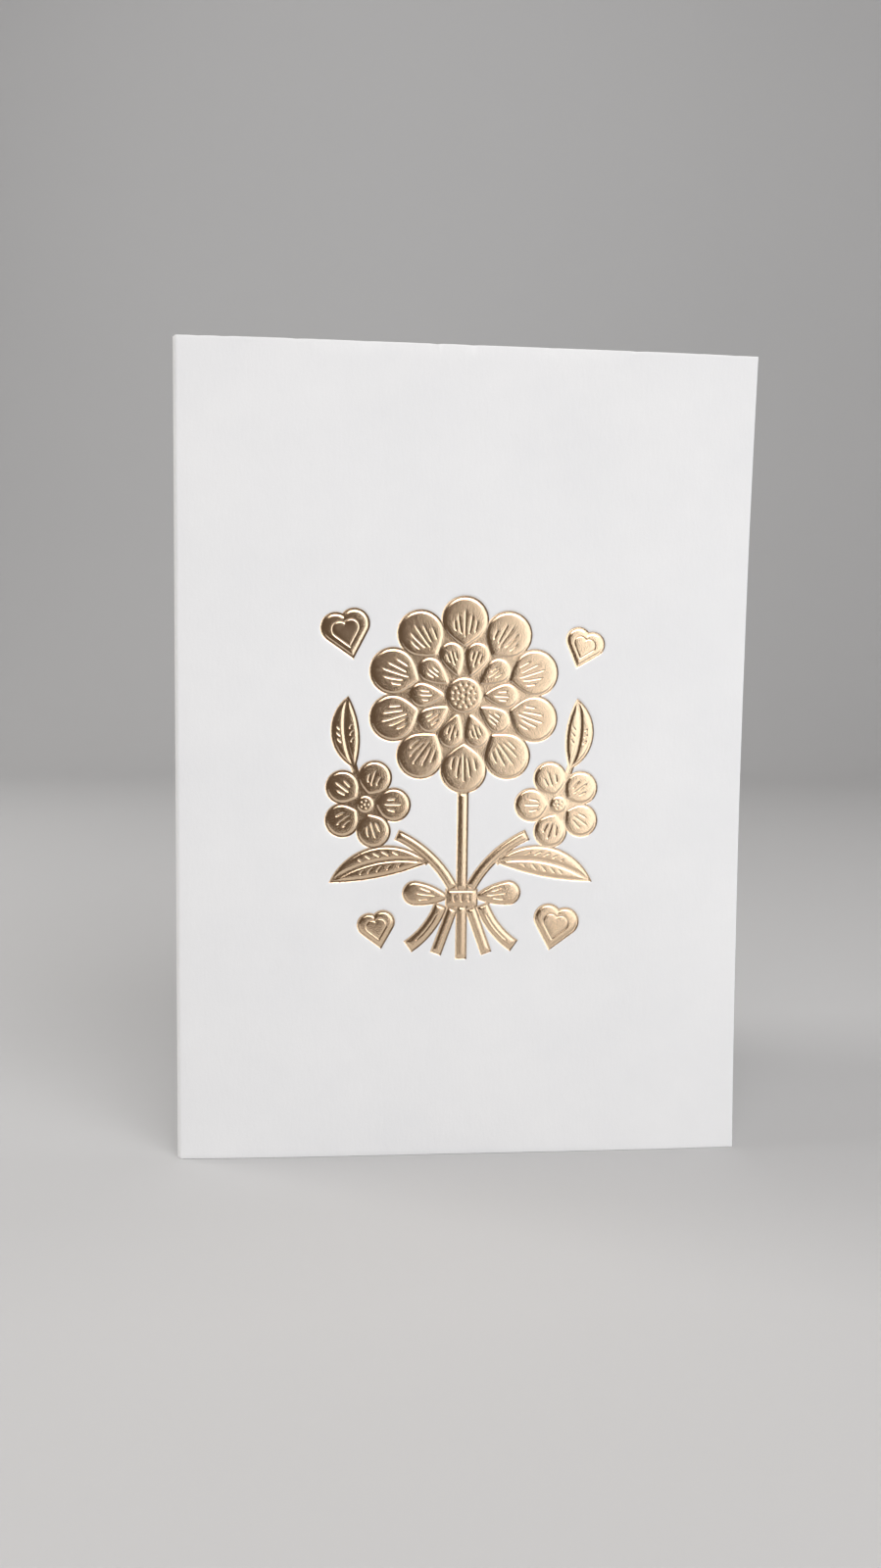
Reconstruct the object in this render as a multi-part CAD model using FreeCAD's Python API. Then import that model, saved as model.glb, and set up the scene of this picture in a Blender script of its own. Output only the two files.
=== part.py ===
"""Folded greeting card, A6, standing half open on its bottom edges.

One creased sheet of heavy white board makes the front and back panels. A heated die has pressed gold foil
into the front panel: a tied posy of flowers, with four small hearts round it. Each patch of foil lies in a
pocket of the board. Its margins and the lines between its shapes lie low, and the board rises under each
petal, leaf and stem as a bevelled pad. The foil follows it all as a thin film. Each separate patch is one solid.

Millimetres. +Z is up. The front faces -Y and the fold is at -X. The origin is the middle of the footprint.
"""
import FreeCAD
import Part

import math
import os

# Sheet
PANEL_WIDTH = 105.0
PANEL_HEIGHT = 148.0
STOCK_THICKNESS = 0.45
OPENING_DEG = 50.0

# Natural bow of the panels: the pressed middle of the front stays flat, the margins curl back
FLAT_BORDER = 3.2
FRONT_MARGIN_TURN_DEG = 2.4
BACK_BOW_DEG = 3.0

# Crease: a narrow spine between two tight bends, with the bead that the creasing rule leaves inside
SPINE_WIDTH = 0.6
BEND_RADIUS = 0.5
BEAD_RADIUS = 0.35
CHANNEL_RADIUS = 1.2
CHANNEL_DEPTH = 0.06

# Pressing: depths of the board under the foil, behind the front face
VALLEY_DEPTH = 0.20
PAD_DROP = 0.03
BEVEL_WIDTH = 0.30
FOIL_MARGIN = 0.45
PAD_GAP = 1.2 * FOIL_MARGIN
FOIL_THICKNESS = 0.05
CURVE_STRAY = 0.09

# Posy, measured from the middle of the design, which lies a little left of the panel's middle
DESIGN_SHIFT = -0.5
DESIGN_HEIGHT = 71.5

# Large bloom: two rings of petals round a heart
BLOOM_CENTRE = (0.0, 14.4)
BLOOM_PETALS = 10
BLOOM_HEART_RADIUS = 3.2
INNER_PETAL_TIP = 9.9
OUTER_PETAL_ROOT = 8.9
OUTER_PETAL_TIP = 17.6
PETAL_ROOT_RADIUS = 0.45
PETAL_SIDE_BOW = 1.6

# Small blooms, one each side
SMALL_BLOOM_CENTRE = (17.9, -5.6)
SMALL_PETALS = 5
SMALL_BLOOM_HEART_RADIUS = 1.5
SMALL_PETAL_TIP = 7.9
SMALL_BLOOM_TURN_DEG = 19.0

# Leaves on the right, mirrored to the left; the bow is the midrib's
LOWER_LEAF_TIP = (23.8, -19.6)
LOWER_LEAF_BOW = 1.7
LOWER_LEAF_HALF_WIDTH = 2.5
UPPER_LEAF_TIP = (21.2, 13.4)
UPPER_LEAF_BOW = -1.0
UPPER_LEAF_HALF_WIDTH = 2.2
MIDRIB_GAP = 0.5
STALK_WIDTH = 0.4

# Stems: one from each bloom to the knot, and their cut ends below it
STEM_WIDTH = 1.25
SIDE_STEM_BOW = 1.1
STEM_FOOT = (4.6, -33.0)
MIDDLE_STEM_FOOT = -34.0

# Bow round the stems
KNOT_CENTRE = (0.0, -23.0)
KNOT_WIDTH = 5.2
KNOT_HEIGHT = 2.6
LOOP_REACH = 10.6
LOOP_LIFT = 1.2
LOOP_ROUND = 1.9
TAIL_END = (9.6, -8.8)
TAIL_BOW = 0.7
RIBBON_WIDTH = 1.7

# Small hearts: (x, z, width, tilt in degrees)
HEARTS = (
    (-21.4, 25.4, 8.2, 14.0),
    (22.0, 23.4, 6.6, -18.0),
    (-15.6, -28.6, 6.2, 12.0),
    (17.6, -28.4, 7.8, -13.0),
)

PARTS_FOLDER = "parts"


class Sheet:
    """Section of the folded sheet in plan, walked from the front panel's free edge to the back panel's."""

    def __init__(self):
        flat_width = 2 * (SMALL_BLOOM_CENTRE[0] + SMALL_PETAL_TIP + FLAT_BORDER)
        margin = (PANEL_WIDTH - flat_width) / 2
        margin_turn = math.radians(FRONT_MARGIN_TURN_DEG)
        back_bow = math.radians(BACK_BOW_DEG)
        bend_turn = (math.pi - math.radians(OPENING_DEG) - margin_turn - back_bow / 2) / 2
        bend_length = BEND_RADIUS * bend_turn
        crease_half = SPINE_WIDTH / 2 + bend_length
        # every stretch is (length, turn to the right); no turn is a straight run
        self.stretches = [
            (margin, margin_turn),
            (flat_width, 0.0),
            (margin - crease_half, margin_turn),
            (bend_length, bend_turn),
            (SPINE_WIDTH, 0.0),
            (bend_length, bend_turn),
            (PANEL_WIDTH - crease_half, back_bow),
        ]
        self.walk(math.pi + margin_turn)

    def walk(self, heading):
        """Finds the middle line's points and headings: start, middle and end of each stretch."""
        point = FreeCAD.Vector(0, 0, 0)
        self.stations = []
        for length, turn in self.stretches:
            stations = [(point, heading)]
            for _ in range(2):
                half_turn = turn / 2
                chord = length / 2 if turn == 0 else 2 * (length / turn) * math.sin(half_turn / 2)
                direction = heading - half_turn / 2
                point = point + FreeCAD.Vector(math.cos(direction), math.sin(direction), 0) * chord
                heading -= half_turn
                stations.append((point, heading))
            self.stations.append(stations)

    @staticmethod
    def beside(station, offset):
        """The point at an offset to the left of the middle line; the outer face is on that side."""
        point, heading = station
        return point + FreeCAD.Vector(-math.sin(heading), math.cos(heading), 0) * offset

    def side(self, offset):
        """The sheet's face at an offset from the middle line, as edges from start to end."""
        edges = []
        for (length, turn), stations in zip(self.stretches, self.stations):
            start, middle, end = (self.beside(s, offset) for s in stations)
            edges.append(Part.LineSegment(start, end) if turn == 0 else Part.Arc(start, middle, end))
        return [e.toShape() for e in edges]

    def spine_middle(self, offset):
        return self.beside(self.stations[4][1], offset)

    def flat_middle(self):
        """Middle of the front panel's flat stretch, on the outer face."""
        return self.beside(self.stations[1][1], STOCK_THICKNESS / 2)

    def solid(self):
        """The folded sheet, before pressing."""
        half = STOCK_THICKNESS / 2
        outer = self.side(half)
        inner = self.side(-half)
        first = Part.LineSegment(inner[0].Vertexes[0].Point, outer[0].Vertexes[0].Point).toShape()
        last = Part.LineSegment(outer[-1].Vertexes[-1].Point, inner[-1].Vertexes[-1].Point).toShape()
        outline = Part.Wire(Part.sortEdges(outer + [last] + inner + [first])[0])
        body = Part.Face(outline).extrude(FreeCAD.Vector(0, 0, PANEL_HEIGHT))
        along = FreeCAD.Vector(0, 0, 1)
        bead = Part.makeCylinder(BEAD_RADIUS, PANEL_HEIGHT, self.spine_middle(-half), along)
        channel_axis = self.spine_middle(half + CHANNEL_RADIUS - CHANNEL_DEPTH)
        channel = Part.makeCylinder(CHANNEL_RADIUS, PANEL_HEIGHT, channel_axis, along)
        return body.fuse(bead).cut(channel)


# Outlines are functions of an inset: they return a start point, then ("line", end) or ("arc", via, end).
# Every side is offset exactly, so that bevels and margins keep one width all round.


def unit(a, b):
    """Direction from a to b, its left normal, and the distance."""
    dx, dz = b[0] - a[0], b[1] - a[1]
    length = math.hypot(dx, dz)
    return (dx / length, dz / length), (-dz / length, dx / length), length


def beyond(a, b, distance):
    """The point at a distance from a towards b."""
    (ux, uz), _, _ = unit(a, b)
    return (a[0] + ux * distance, a[1] + uz * distance)


def local(origin, axis, side, s, w):
    return (origin[0] + axis[0] * s + side[0] * w, origin[1] + axis[1] * s + side[1] * w)


def meeting(centre_1, radius_1, centre_2, radius_2, hand):
    """Where two circles cross, on the left of the line between their centres for hand 1."""
    axis, side, distance = unit(centre_1, centre_2)
    s = (distance ** 2 + radius_1 ** 2 - radius_2 ** 2) / (2 * distance)
    return local(centre_1, axis, side, s, hand * math.sqrt(radius_1 ** 2 - s ** 2))


def disc(centre, radius):
    def outline(inset):
        r = radius - inset
        east, west = (centre[0] + r, centre[1]), (centre[0] - r, centre[1])
        north, south = (centre[0], centre[1] + r), (centre[0], centre[1] - r)
        return [east, ("arc", north, west), ("arc", south, east)]

    return outline


def petal(root, tip, root_radius, tip_radius):
    """Round at both ends, with sides that are arcs tangent to the two ends."""
    axis, side, length = unit(root, tip)
    side_radius = PETAL_SIDE_BOW * length
    root_centre = local(root, axis, side, root_radius, 0)
    tip_centre = local(root, axis, side, length - tip_radius, 0)
    left_centre = meeting(root_centre, side_radius - root_radius, tip_centre, side_radius - tip_radius, -1)
    right_centre = meeting(root_centre, side_radius - root_radius, tip_centre, side_radius - tip_radius, 1)

    def outline(inset):
        reach = side_radius - inset
        left_root = beyond(left_centre, root_centre, reach)
        left_tip = beyond(left_centre, tip_centre, reach)
        right_root = beyond(right_centre, root_centre, reach)
        right_tip = beyond(right_centre, tip_centre, reach)
        left_middle = ((left_root[0] + left_tip[0]) / 2, (left_root[1] + left_tip[1]) / 2)
        right_middle = ((right_root[0] + right_tip[0]) / 2, (right_root[1] + right_tip[1]) / 2)
        return [
            left_root,
            ("arc", beyond(left_centre, left_middle, reach), left_tip),
            ("arc", local(root, axis, side, length - inset, 0), right_tip),
            ("arc", beyond(right_centre, right_middle, reach), right_root),
            ("arc", local(root, axis, side, inset, 0), left_root),
        ]

    return outline


def blade(root, tip, left_bow, right_bow, left_trim=0, right_trim=0):
    """Pointed at both ends, between two arcs. Both bows are measured to the left of the line."""
    axis, side, length = unit(root, tip)

    def circle(bow, inward):
        radius = (length ** 2 / 4 + bow ** 2) / (2 * abs(bow))
        bulge = math.copysign(1, bow)
        centre = local(root, axis, side, length / 2, bow - bulge * radius)
        return centre, radius, bulge, -bulge * inward

    left = circle(left_bow, 1)
    right = circle(right_bow, -1)

    def outline(inset):
        left_radius = left[1] + left[3] * (inset + left_trim)
        right_radius = right[1] + right[3] * (inset + right_trim)
        first = meeting(left[0], left_radius, right[0], right_radius, 1)
        second = meeting(left[0], left_radius, right[0], right_radius, -1)
        ends = sorted((first, second), key=lambda q: math.hypot(q[0] - root[0], q[1] - root[1]))
        left_via = local(left[0], axis, side, 0, left[2] * left_radius)
        right_via = local(right[0], axis, side, 0, right[2] * right_radius)
        return [ends[0], ("arc", left_via, ends[1]), ("arc", right_via, ends[0])]

    return outline


def strap(root, tip, bow, width):
    """Band of constant width along an arc, or straight where the bow is 0, with square ends."""
    axis, side, length = unit(root, tip)
    lean = 2 * math.atan(2 * bow / length)

    def outline(inset):
        half = width / 2 - inset

        def corner(s, sign):
            tilt = lean if s == 0 else -lean
            run = inset if s == 0 else -inset
            ahead = s + math.cos(tilt) * run - math.sin(tilt) * sign * half
            across = math.sin(tilt) * run + math.cos(tilt) * sign * half
            return local(root, axis, side, ahead, across)

        def run_to(sign, end):
            if bow == 0:
                return ("line", end)
            return ("arc", local(root, axis, side, length / 2, bow + sign * half), end)

        start = corner(0, 1)
        return [
            start,
            run_to(1, corner(length, 1)),
            ("line", corner(length, -1)),
            run_to(-1, corner(0, -1)),
            ("line", start),
        ]

    return outline


def heart(centre, width, tilt_deg):
    """Two round lobes and straight sides, tangent to the lobes, down to the point."""
    tilt = math.radians(tilt_deg)
    up, across = (-math.sin(tilt), math.cos(tilt)), (math.cos(tilt), math.sin(tilt))
    lobe_radius = 0.29 * width
    lobe_across = width / 2 - lobe_radius
    lobe_up = 0.16 * width
    drop = 0.52 * width + lobe_up
    reach = math.hypot(lobe_across, drop)
    point_half_angle = math.atan2(lobe_across, drop) + math.asin(lobe_radius / reach)
    normal = (math.cos(point_half_angle), -math.sin(point_half_angle))

    def outline(inset):
        r = lobe_radius - inset

        def at(hand, x, z):
            return local(centre, across, up, hand * x, z)

        foot = at(1, 0, lobe_up - drop + inset / math.sin(point_half_angle))
        cleft = at(1, 0, lobe_up + math.sqrt(r ** 2 - lobe_across ** 2))
        points = [foot]
        for hand in (1, -1):
            flank = at(hand, lobe_across + normal[0] * r, lobe_up + normal[1] * r)
            crown = at(hand, lobe_across + 0.6 * r, lobe_up + 0.8 * r)
            points += [("line", flank), ("arc", crown, cleft)] if hand == 1 else [("arc", crown, flank)]
        return points + [("line", foot)]

    return outline


# Motifs return (pads, field): the raised shapes, and the shapes that the foil covers with its margin.


def tip_radius_for(count, tip, gap):
    """Radius of a petal's round end that leaves a gap to its neighbours."""
    half = math.sin(math.pi / count)
    return (tip * half - gap / 2) / (1 + half)


def ring(centre, count, first_deg, root, tip):
    """Petals evenly spaced round a bloom."""
    round_radius = tip_radius_for(count, tip, PAD_GAP)
    petals = []
    for i in range(count):
        angle = math.radians(first_deg + 360 / count * i)
        out = (math.cos(angle), math.sin(angle))
        start = (centre[0] + out[0] * root, centre[1] + out[1] * root)
        end = (centre[0] + out[0] * tip, centre[1] + out[1] * tip)
        petals.append(petal(start, end, PETAL_ROOT_RADIUS, round_radius))
    return petals


def large_bloom():
    half_step = 180 / BLOOM_PETALS
    inner = ring(BLOOM_CENTRE, BLOOM_PETALS, 90 + half_step, BLOOM_HEART_RADIUS + PAD_GAP, INNER_PETAL_TIP)
    outer = ring(BLOOM_CENTRE, BLOOM_PETALS, 90, OUTER_PETAL_ROOT, OUTER_PETAL_TIP)
    field_radius = (OUTER_PETAL_ROOT + OUTER_PETAL_TIP) / 2
    return [disc(BLOOM_CENTRE, BLOOM_HEART_RADIUS)] + inner + outer, outer + [disc(BLOOM_CENTRE, field_radius)]


def small_bloom(hand):
    centre = (hand * SMALL_BLOOM_CENTRE[0], SMALL_BLOOM_CENTRE[1])
    first = 90 + hand * SMALL_BLOOM_TURN_DEG
    petals = ring(centre, SMALL_PETALS, first, SMALL_BLOOM_HEART_RADIUS + PAD_GAP, SMALL_PETAL_TIP)
    field_radius = (SMALL_BLOOM_HEART_RADIUS + SMALL_PETAL_TIP) / 2
    return [disc(centre, SMALL_BLOOM_HEART_RADIUS)] + petals, petals + [disc(centre, field_radius)]


def leaf(root, tip, bow, half_width):
    """The two halves of a leaf, one each side of the midrib, on one field."""
    gap = MIDRIB_GAP / 2
    left = blade(root, tip, bow + half_width, bow, right_trim=gap)
    right = blade(root, tip, bow, bow - half_width, left_trim=gap)
    return [left, right], [blade(root, tip, bow + half_width, bow - half_width)]


def upper_leaf(hand):
    """Grows from between two petals of the small bloom, on a stalk from its heart."""
    tip = (hand * UPPER_LEAF_TIP[0], UPPER_LEAF_TIP[1])
    heart_centre = (hand * SMALL_BLOOM_CENTRE[0], SMALL_BLOOM_CENTRE[1])
    angle = math.radians(90 + hand * (SMALL_BLOOM_TURN_DEG - 180 / SMALL_PETALS))
    out = (math.cos(angle), math.sin(angle))
    reach = SMALL_PETAL_TIP - PAD_GAP
    root = (heart_centre[0] + out[0] * reach, heart_centre[1] + out[1] * reach)
    pads, field = leaf(root, tip, hand * UPPER_LEAF_BOW, UPPER_LEAF_HALF_WIDTH)
    return pads, field + [strap(heart_centre, root, 0, STALK_WIDTH)]


def lower_leaf(hand):
    """Hangs from the middle of the side stem."""
    tip = (hand * LOWER_LEAF_TIP[0], LOWER_LEAF_TIP[1])
    top, end = side_stem_ends(hand)
    axis, side, length = unit(top, end)
    clear = hand * (-SIDE_STEM_BOW + STEM_WIDTH / 2 + PAD_GAP)
    node = local(top, axis, side, length / 2, -hand * SIDE_STEM_BOW)
    root = local(top, axis, side, length / 2, clear)
    pads, field = leaf(root, tip, hand * LOWER_LEAF_BOW, LOWER_LEAF_HALF_WIDTH)
    return pads, field + [strap(node, root, 0, STALK_WIDTH)]


def side_stem_ends(hand):
    """From just under the small bloom to just above the knot."""
    centre = (hand * SMALL_BLOOM_CENTRE[0], SMALL_BLOOM_CENTRE[1])
    knot_x, knot_z = KNOT_CENTRE
    knot_top = knot_z + KNOT_HEIGHT / 2 + PAD_GAP
    end = (knot_x + hand * (STEM_WIDTH + PAD_GAP), knot_top + STEM_WIDTH / 4)
    return beyond(centre, end, SMALL_PETAL_TIP + PAD_GAP), end


def stems():
    """Stems from the blooms down to the knot, and their ends below it."""
    knot_x, knot_z = KNOT_CENTRE
    knot_top = knot_z + KNOT_HEIGHT / 2 + PAD_GAP
    knot_foot = knot_z - KNOT_HEIGHT / 2 - PAD_GAP
    bloom_foot = BLOOM_CENTRE[1] - OUTER_PETAL_TIP - PAD_GAP
    pads = [strap((knot_x, bloom_foot), (knot_x, knot_top), 0, STEM_WIDTH)]
    pads.append(strap((knot_x, knot_foot), (knot_x, MIDDLE_STEM_FOOT), 0, STEM_WIDTH))
    for hand in (-1, 1):
        top, end = side_stem_ends(hand)
        pads.append(strap(top, end, -hand * SIDE_STEM_BOW, STEM_WIDTH))
        start = (knot_x + hand * (STEM_WIDTH + PAD_GAP), knot_foot - STEM_WIDTH / 4)
        pads.append(strap(start, (hand * STEM_FOOT[0], STEM_FOOT[1]), 0, STEM_WIDTH))
    return pads, pads


def bow():
    """Knot, two loops and two tails."""
    x, z = KNOT_CENTRE
    pads = [strap((x - KNOT_WIDTH / 2, z), (x + KNOT_WIDTH / 2, z), 0, KNOT_HEIGHT)]
    for hand in (-1, 1):
        side = x + hand * (KNOT_WIDTH / 2 + PAD_GAP)
        loop_tip = (x + hand * LOOP_REACH, z + LOOP_LIFT)
        pads.append(petal((side, z + LOOP_LIFT / 4), loop_tip, PETAL_ROOT_RADIUS, LOOP_ROUND))
        tail_root = (side + hand * RIBBON_WIDTH / 2, z - KNOT_HEIGHT / 2 - PAD_GAP / 2)
        tail_tip = (x + hand * TAIL_END[0], z + TAIL_END[1])
        pads.append(strap(tail_root, tail_tip, -hand * TAIL_BOW, RIBBON_WIDTH))
    return pads, pads


def posy():
    motifs = [large_bloom(), stems(), bow()]
    for hand in (-1, 1):
        motifs += [small_bloom(hand), upper_leaf(hand), lower_leaf(hand)]
    pads = [pad for motif in motifs for pad in motif[0]]
    field = [shape for motif in motifs for shape in motif[1]]
    return pads, field


def single_heart(x, z, width, tilt_deg):
    shape = heart((x, z), width, tilt_deg)
    return [shape], [shape]


# The foil's curves are drawn as chords, which keeps thousands of small curved faces out of the board.


def arc(start, via, end):
    """Centre, radius, first angle and sweep of the arc through three points."""
    (ax, az), (bx, bz), (cx, cz) = start, via, end
    a2, b2, c2 = ax * ax + az * az, bx * bx + bz * bz, cx * cx + cz * cz
    twice_area = ax * (bz - cz) + bx * (cz - az) + cx * (az - bz)
    x = (a2 * (bz - cz) + b2 * (cz - az) + c2 * (az - bz)) / (2 * twice_area)
    z = (a2 * (cx - bx) + b2 * (ax - cx) + c2 * (bx - ax)) / (2 * twice_area)
    first = math.atan2(az - z, ax - x)
    through = (math.atan2(bz - z, bx - x) - first) % math.tau
    last = (math.atan2(cz - z, cx - x) - first) % math.tau
    return (x, z), math.hypot(ax - x, az - z), first, last if through < last else last - math.tau


def chord_counts(outline):
    """How many chords each side of an outline needs."""
    counts = []
    here = outline[0]
    for kind, *points in outline[1:]:
        if kind == "line":
            counts.append(1)
        else:
            _, radius, _, sweep = arc(here, *points)
            counts.append(math.ceil(abs(sweep) / (2 * math.acos(1 - CURVE_STRAY / radius))))
        here = points[-1]
    return counts


def corners(outline, counts):
    """The corner points of an outline drawn as chords."""
    points = [outline[0]]
    for (kind, *ends), count in zip(outline[1:], counts):
        if kind == "arc":
            (x, z), radius, first, sweep = arc(points[-1], *ends)
            turns = [first + sweep * i / count for i in range(1, count)]
            points += [(x + radius * math.cos(turn), z + radius * math.sin(turn)) for turn in turns]
        points.append(ends[-1])
    return points[:-1]


def drawn(shape, inset, origin, depth=0):
    """The corners of a shape at an inset, behind the front face. Every inset has equally many."""
    counts = chord_counts(shape(min(inset, 0)))
    return [origin + FreeCAD.Vector(x, depth, z) for x, z in corners(shape(inset), counts)]


def ring_wire(points):
    return Part.makePolygon(points + points[:1])


def moved(shape, depth):
    """A copy, farther behind the front face."""
    copy = shape.copy()
    copy.translate(FreeCAD.Vector(0, depth, 0))
    return copy


def rim(wire, depth):
    """The wall between a wire and its copy farther behind."""
    return wire.extrude(FreeCAD.Vector(0, depth, 0)).Faces


def flat_face(wires):
    """A flat face bounded by the outermost wire, with the others as openings."""
    return Part.makeFace(wires, "Part::FaceMakerBullseye").Faces[0]


def joined(faces):
    """One flat face in place of several that overlap."""
    backing = FreeCAD.Vector(0, STOCK_THICKNESS, 0)
    solids = [face.extrude(backing) for face in faces]
    body = solids[0].multiFuse(solids[1:]).removeSplitter() if len(solids) > 1 else solids[0]
    fronts = [f for f in body.Faces if f.BoundBox.YMax < faces[0].BoundBox.YMin + 1e-6]
    if len(fronts) != 1:
        raise ValueError(f"the foil falls into {len(fronts)} patches")
    return fronts[0]


def closed_solid(faces):
    """Sews faces that share their edges into one solid."""
    skin = Part.makeCompound(faces)
    skin.sewShape()
    solid = Part.Solid(skin.Shells[0] if skin.ShapeType == "Compound" else skin)
    if solid.Volume < 0:
        solid.reverse()
    return solid


def bevel(foot, top):
    """The slopes between two outlines with equally many corners."""
    faces = []
    for i in range(len(foot)):
        a, b, c, d = foot[i - 1], foot[i], top[i], top[i - 1]
        level = abs((b - a).cross(d - a).normalize().dot(c - a)) < 1e-7
        patches = [[a, b, c, d]] if level else [[a, b, c], [a, c, d]]
        faces += [Part.Face(ring_wire(patch)) for patch in patches]
    return faces


class Stamp:
    """One patch of foil: its outline on the front face, and the pressed surface of the board under it."""

    def __init__(self, origin, pads, field):
        patch = joined([Part.Face(ring_wire(drawn(shape, -FOIL_MARGIN, origin))) for shape in field])
        self.outline = patch.OuterWire
        self.holes = [w for w in patch.Wires if not w.isSame(self.outline)]
        self.relief = []
        feet = []
        for shape in pads:
            foot = drawn(shape, 0, origin, VALLEY_DEPTH)
            top = drawn(shape, BEVEL_WIDTH, origin, PAD_DROP)
            feet.append(ring_wire(foot))
            self.relief += bevel(foot, top) + [Part.Face(ring_wire(top))]
        edges = [moved(w, VALLEY_DEPTH) for w in [self.outline] + self.holes]
        self.relief.append(flat_face(edges + feet))

    def walls(self, depth_from, depth_to):
        """Walls round the patch and round the bare islands in it."""
        wires = [self.outline] + self.holes
        return [f for w in wires for f in rim(moved(w, depth_from), depth_to - depth_from)]

    def islands(self):
        """The board left bare inside the patch."""
        return [Part.Face(hole) for hole in self.holes]

    def foil(self):
        film = FOIL_THICKNESS
        upper = [moved(face, -film) for face in self.relief]
        return closed_solid(self.relief + upper + self.walls(VALLEY_DEPTH - film, VALLEY_DEPTH))


def flat_faces(solid, sheet):
    """The outer face of the front panel's flat stretch, and all the other faces."""
    middle = sheet.flat_middle()
    flat = [f for f in solid.Faces if f.BoundBox.YLength < 1e-6]
    outer = min(flat, key=lambda f: abs(f.BoundBox.YMin - middle.y))
    return outer, [f for f in solid.Faces if not f.isSame(outer)]


def pressed_board(sheet, stamps):
    """The folded sheet with every stamp pressed into its front."""
    outer, faces = flat_faces(sheet.solid(), sheet)
    faces.append(flat_face([outer.OuterWire] + [s.outline for s in stamps]))
    for stamp in stamps:
        faces += stamp.islands() + stamp.walls(0, VALLEY_DEPTH) + stamp.relief
    return closed_solid(faces)


def main():
    sheet = Sheet()
    origin = sheet.flat_middle() + FreeCAD.Vector(DESIGN_SHIFT, 0, DESIGN_HEIGHT)
    designs = [posy()] + [single_heart(*values) for values in HEARTS]
    stamps = [Stamp(origin, pads, field) for pads, field in designs]
    board = pressed_board(sheet, stamps)
    names = ["folded_sheet", "foil_posy"] + [f"foil_heart_{i + 1}" for i in range(len(HEARTS))]
    box = board.BoundBox
    to_origin = FreeCAD.Vector(-box.Center.x, -box.Center.y, -box.ZMin)
    os.makedirs(PARTS_FOLDER, exist_ok=True)
    for name, solid in zip(names, [board] + [stamp.foil() for stamp in stamps]):
        solid.translate(to_origin)
        print(name, "faces", len(solid.Faces), "closed", solid.isClosed(), "valid", solid.isValid(),
              "volume", round(solid.Volume, 3))
        solid.exportStep(os.path.join(PARTS_FOLDER, name + ".step"))


main()
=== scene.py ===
import math
import random

import bpy
import numpy as np
from mathutils import Matrix, Vector
from mathutils.geometry import delaunay_2d_cdt
from mathutils.kdtree import KDTree


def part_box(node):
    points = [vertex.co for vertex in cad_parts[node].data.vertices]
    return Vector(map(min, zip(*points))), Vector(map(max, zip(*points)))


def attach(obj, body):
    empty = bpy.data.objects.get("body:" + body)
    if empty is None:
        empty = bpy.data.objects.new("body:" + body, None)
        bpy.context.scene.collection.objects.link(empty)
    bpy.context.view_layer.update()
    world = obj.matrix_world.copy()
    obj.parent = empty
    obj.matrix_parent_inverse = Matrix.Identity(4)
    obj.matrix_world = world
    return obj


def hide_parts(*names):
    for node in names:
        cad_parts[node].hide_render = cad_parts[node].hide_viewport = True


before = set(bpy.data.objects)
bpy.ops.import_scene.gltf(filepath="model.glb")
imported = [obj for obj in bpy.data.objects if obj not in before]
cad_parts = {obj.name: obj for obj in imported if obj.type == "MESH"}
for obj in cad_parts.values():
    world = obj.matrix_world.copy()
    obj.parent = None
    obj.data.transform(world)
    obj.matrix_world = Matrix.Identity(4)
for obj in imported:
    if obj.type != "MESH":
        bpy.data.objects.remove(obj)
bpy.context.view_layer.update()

# Looks of the folded greeting card: a creased sheet of heavy white board with pressed gold foil.
# The card's sizes are millimetres, and turn into metres where a mesh is made. The set, the lamps,
# the camera and the materials are in metres. The next two are for going from one to the other.
METRE = 1000
MILLIMETRE = 0.001

# Sheet, walked in plan from the front panel's free edge to the back panel's
PANEL_WIDTH = 105.0
PANEL_HEIGHT = 148.0
STOCK = 0.45
OPENING = math.radians(50.0)
FLAT_BORDER = 3.2
MARGIN_TURN = math.radians(2.4)
BACK_TURN = math.radians(3.0)
SPINE_WIDTH = 0.6
BEND_RADIUS = 0.5
CHANNEL_DEPTH = 0.06
CHANNEL_HALF = 0.42
BEAD_HEIGHT = 0.3
BEAD_HALF = 0.42
FREE_EDGE_BOW = 2.0
BACK_EDGE_BOW = 1.3
EDGE_ROUND = 0.2
WAVE_HEIGHT = 0.035
WAVE_ALONG = (0.083, 0.9)
WAVE_UP = (0.051, 0.4)
WAVE_SLANT = (0.117, 0.046)
WAVE_RISE = 6
WAVE_MEAN = 2.0
STRAIGHT = 1e-12

# The rounded cut edge as (inset, depth), and bruises of its top as (place along the sheet, depth, width)
EDGE_PROFILE = (
    (0.125, 0.012), (0.065, 0.038), (0.022, 0.082), (0.0, 0.145), (0.0, 0.225),
    (0.0, 0.33), (0.022, 0.385), (0.065, 0.425), (0.125, 0.443),
)
NICKS = (
    (4.3, 0.05, 0.7), (11.4, 0.05, 0.5), (22.7, 0.08, 0.9), (37.9, 0.05, 0.6), (52.3, 0.07, 0.8),
    (58.8, 0.11, 0.6), (71.5, 0.05, 1.1), (83.6, 0.09, 0.7), (96.2, 0.06, 0.8), (100.6, 0.05, 0.7),
    (128.0, 0.07, 0.9), (166.0, 0.08, 1.2),
)

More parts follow.
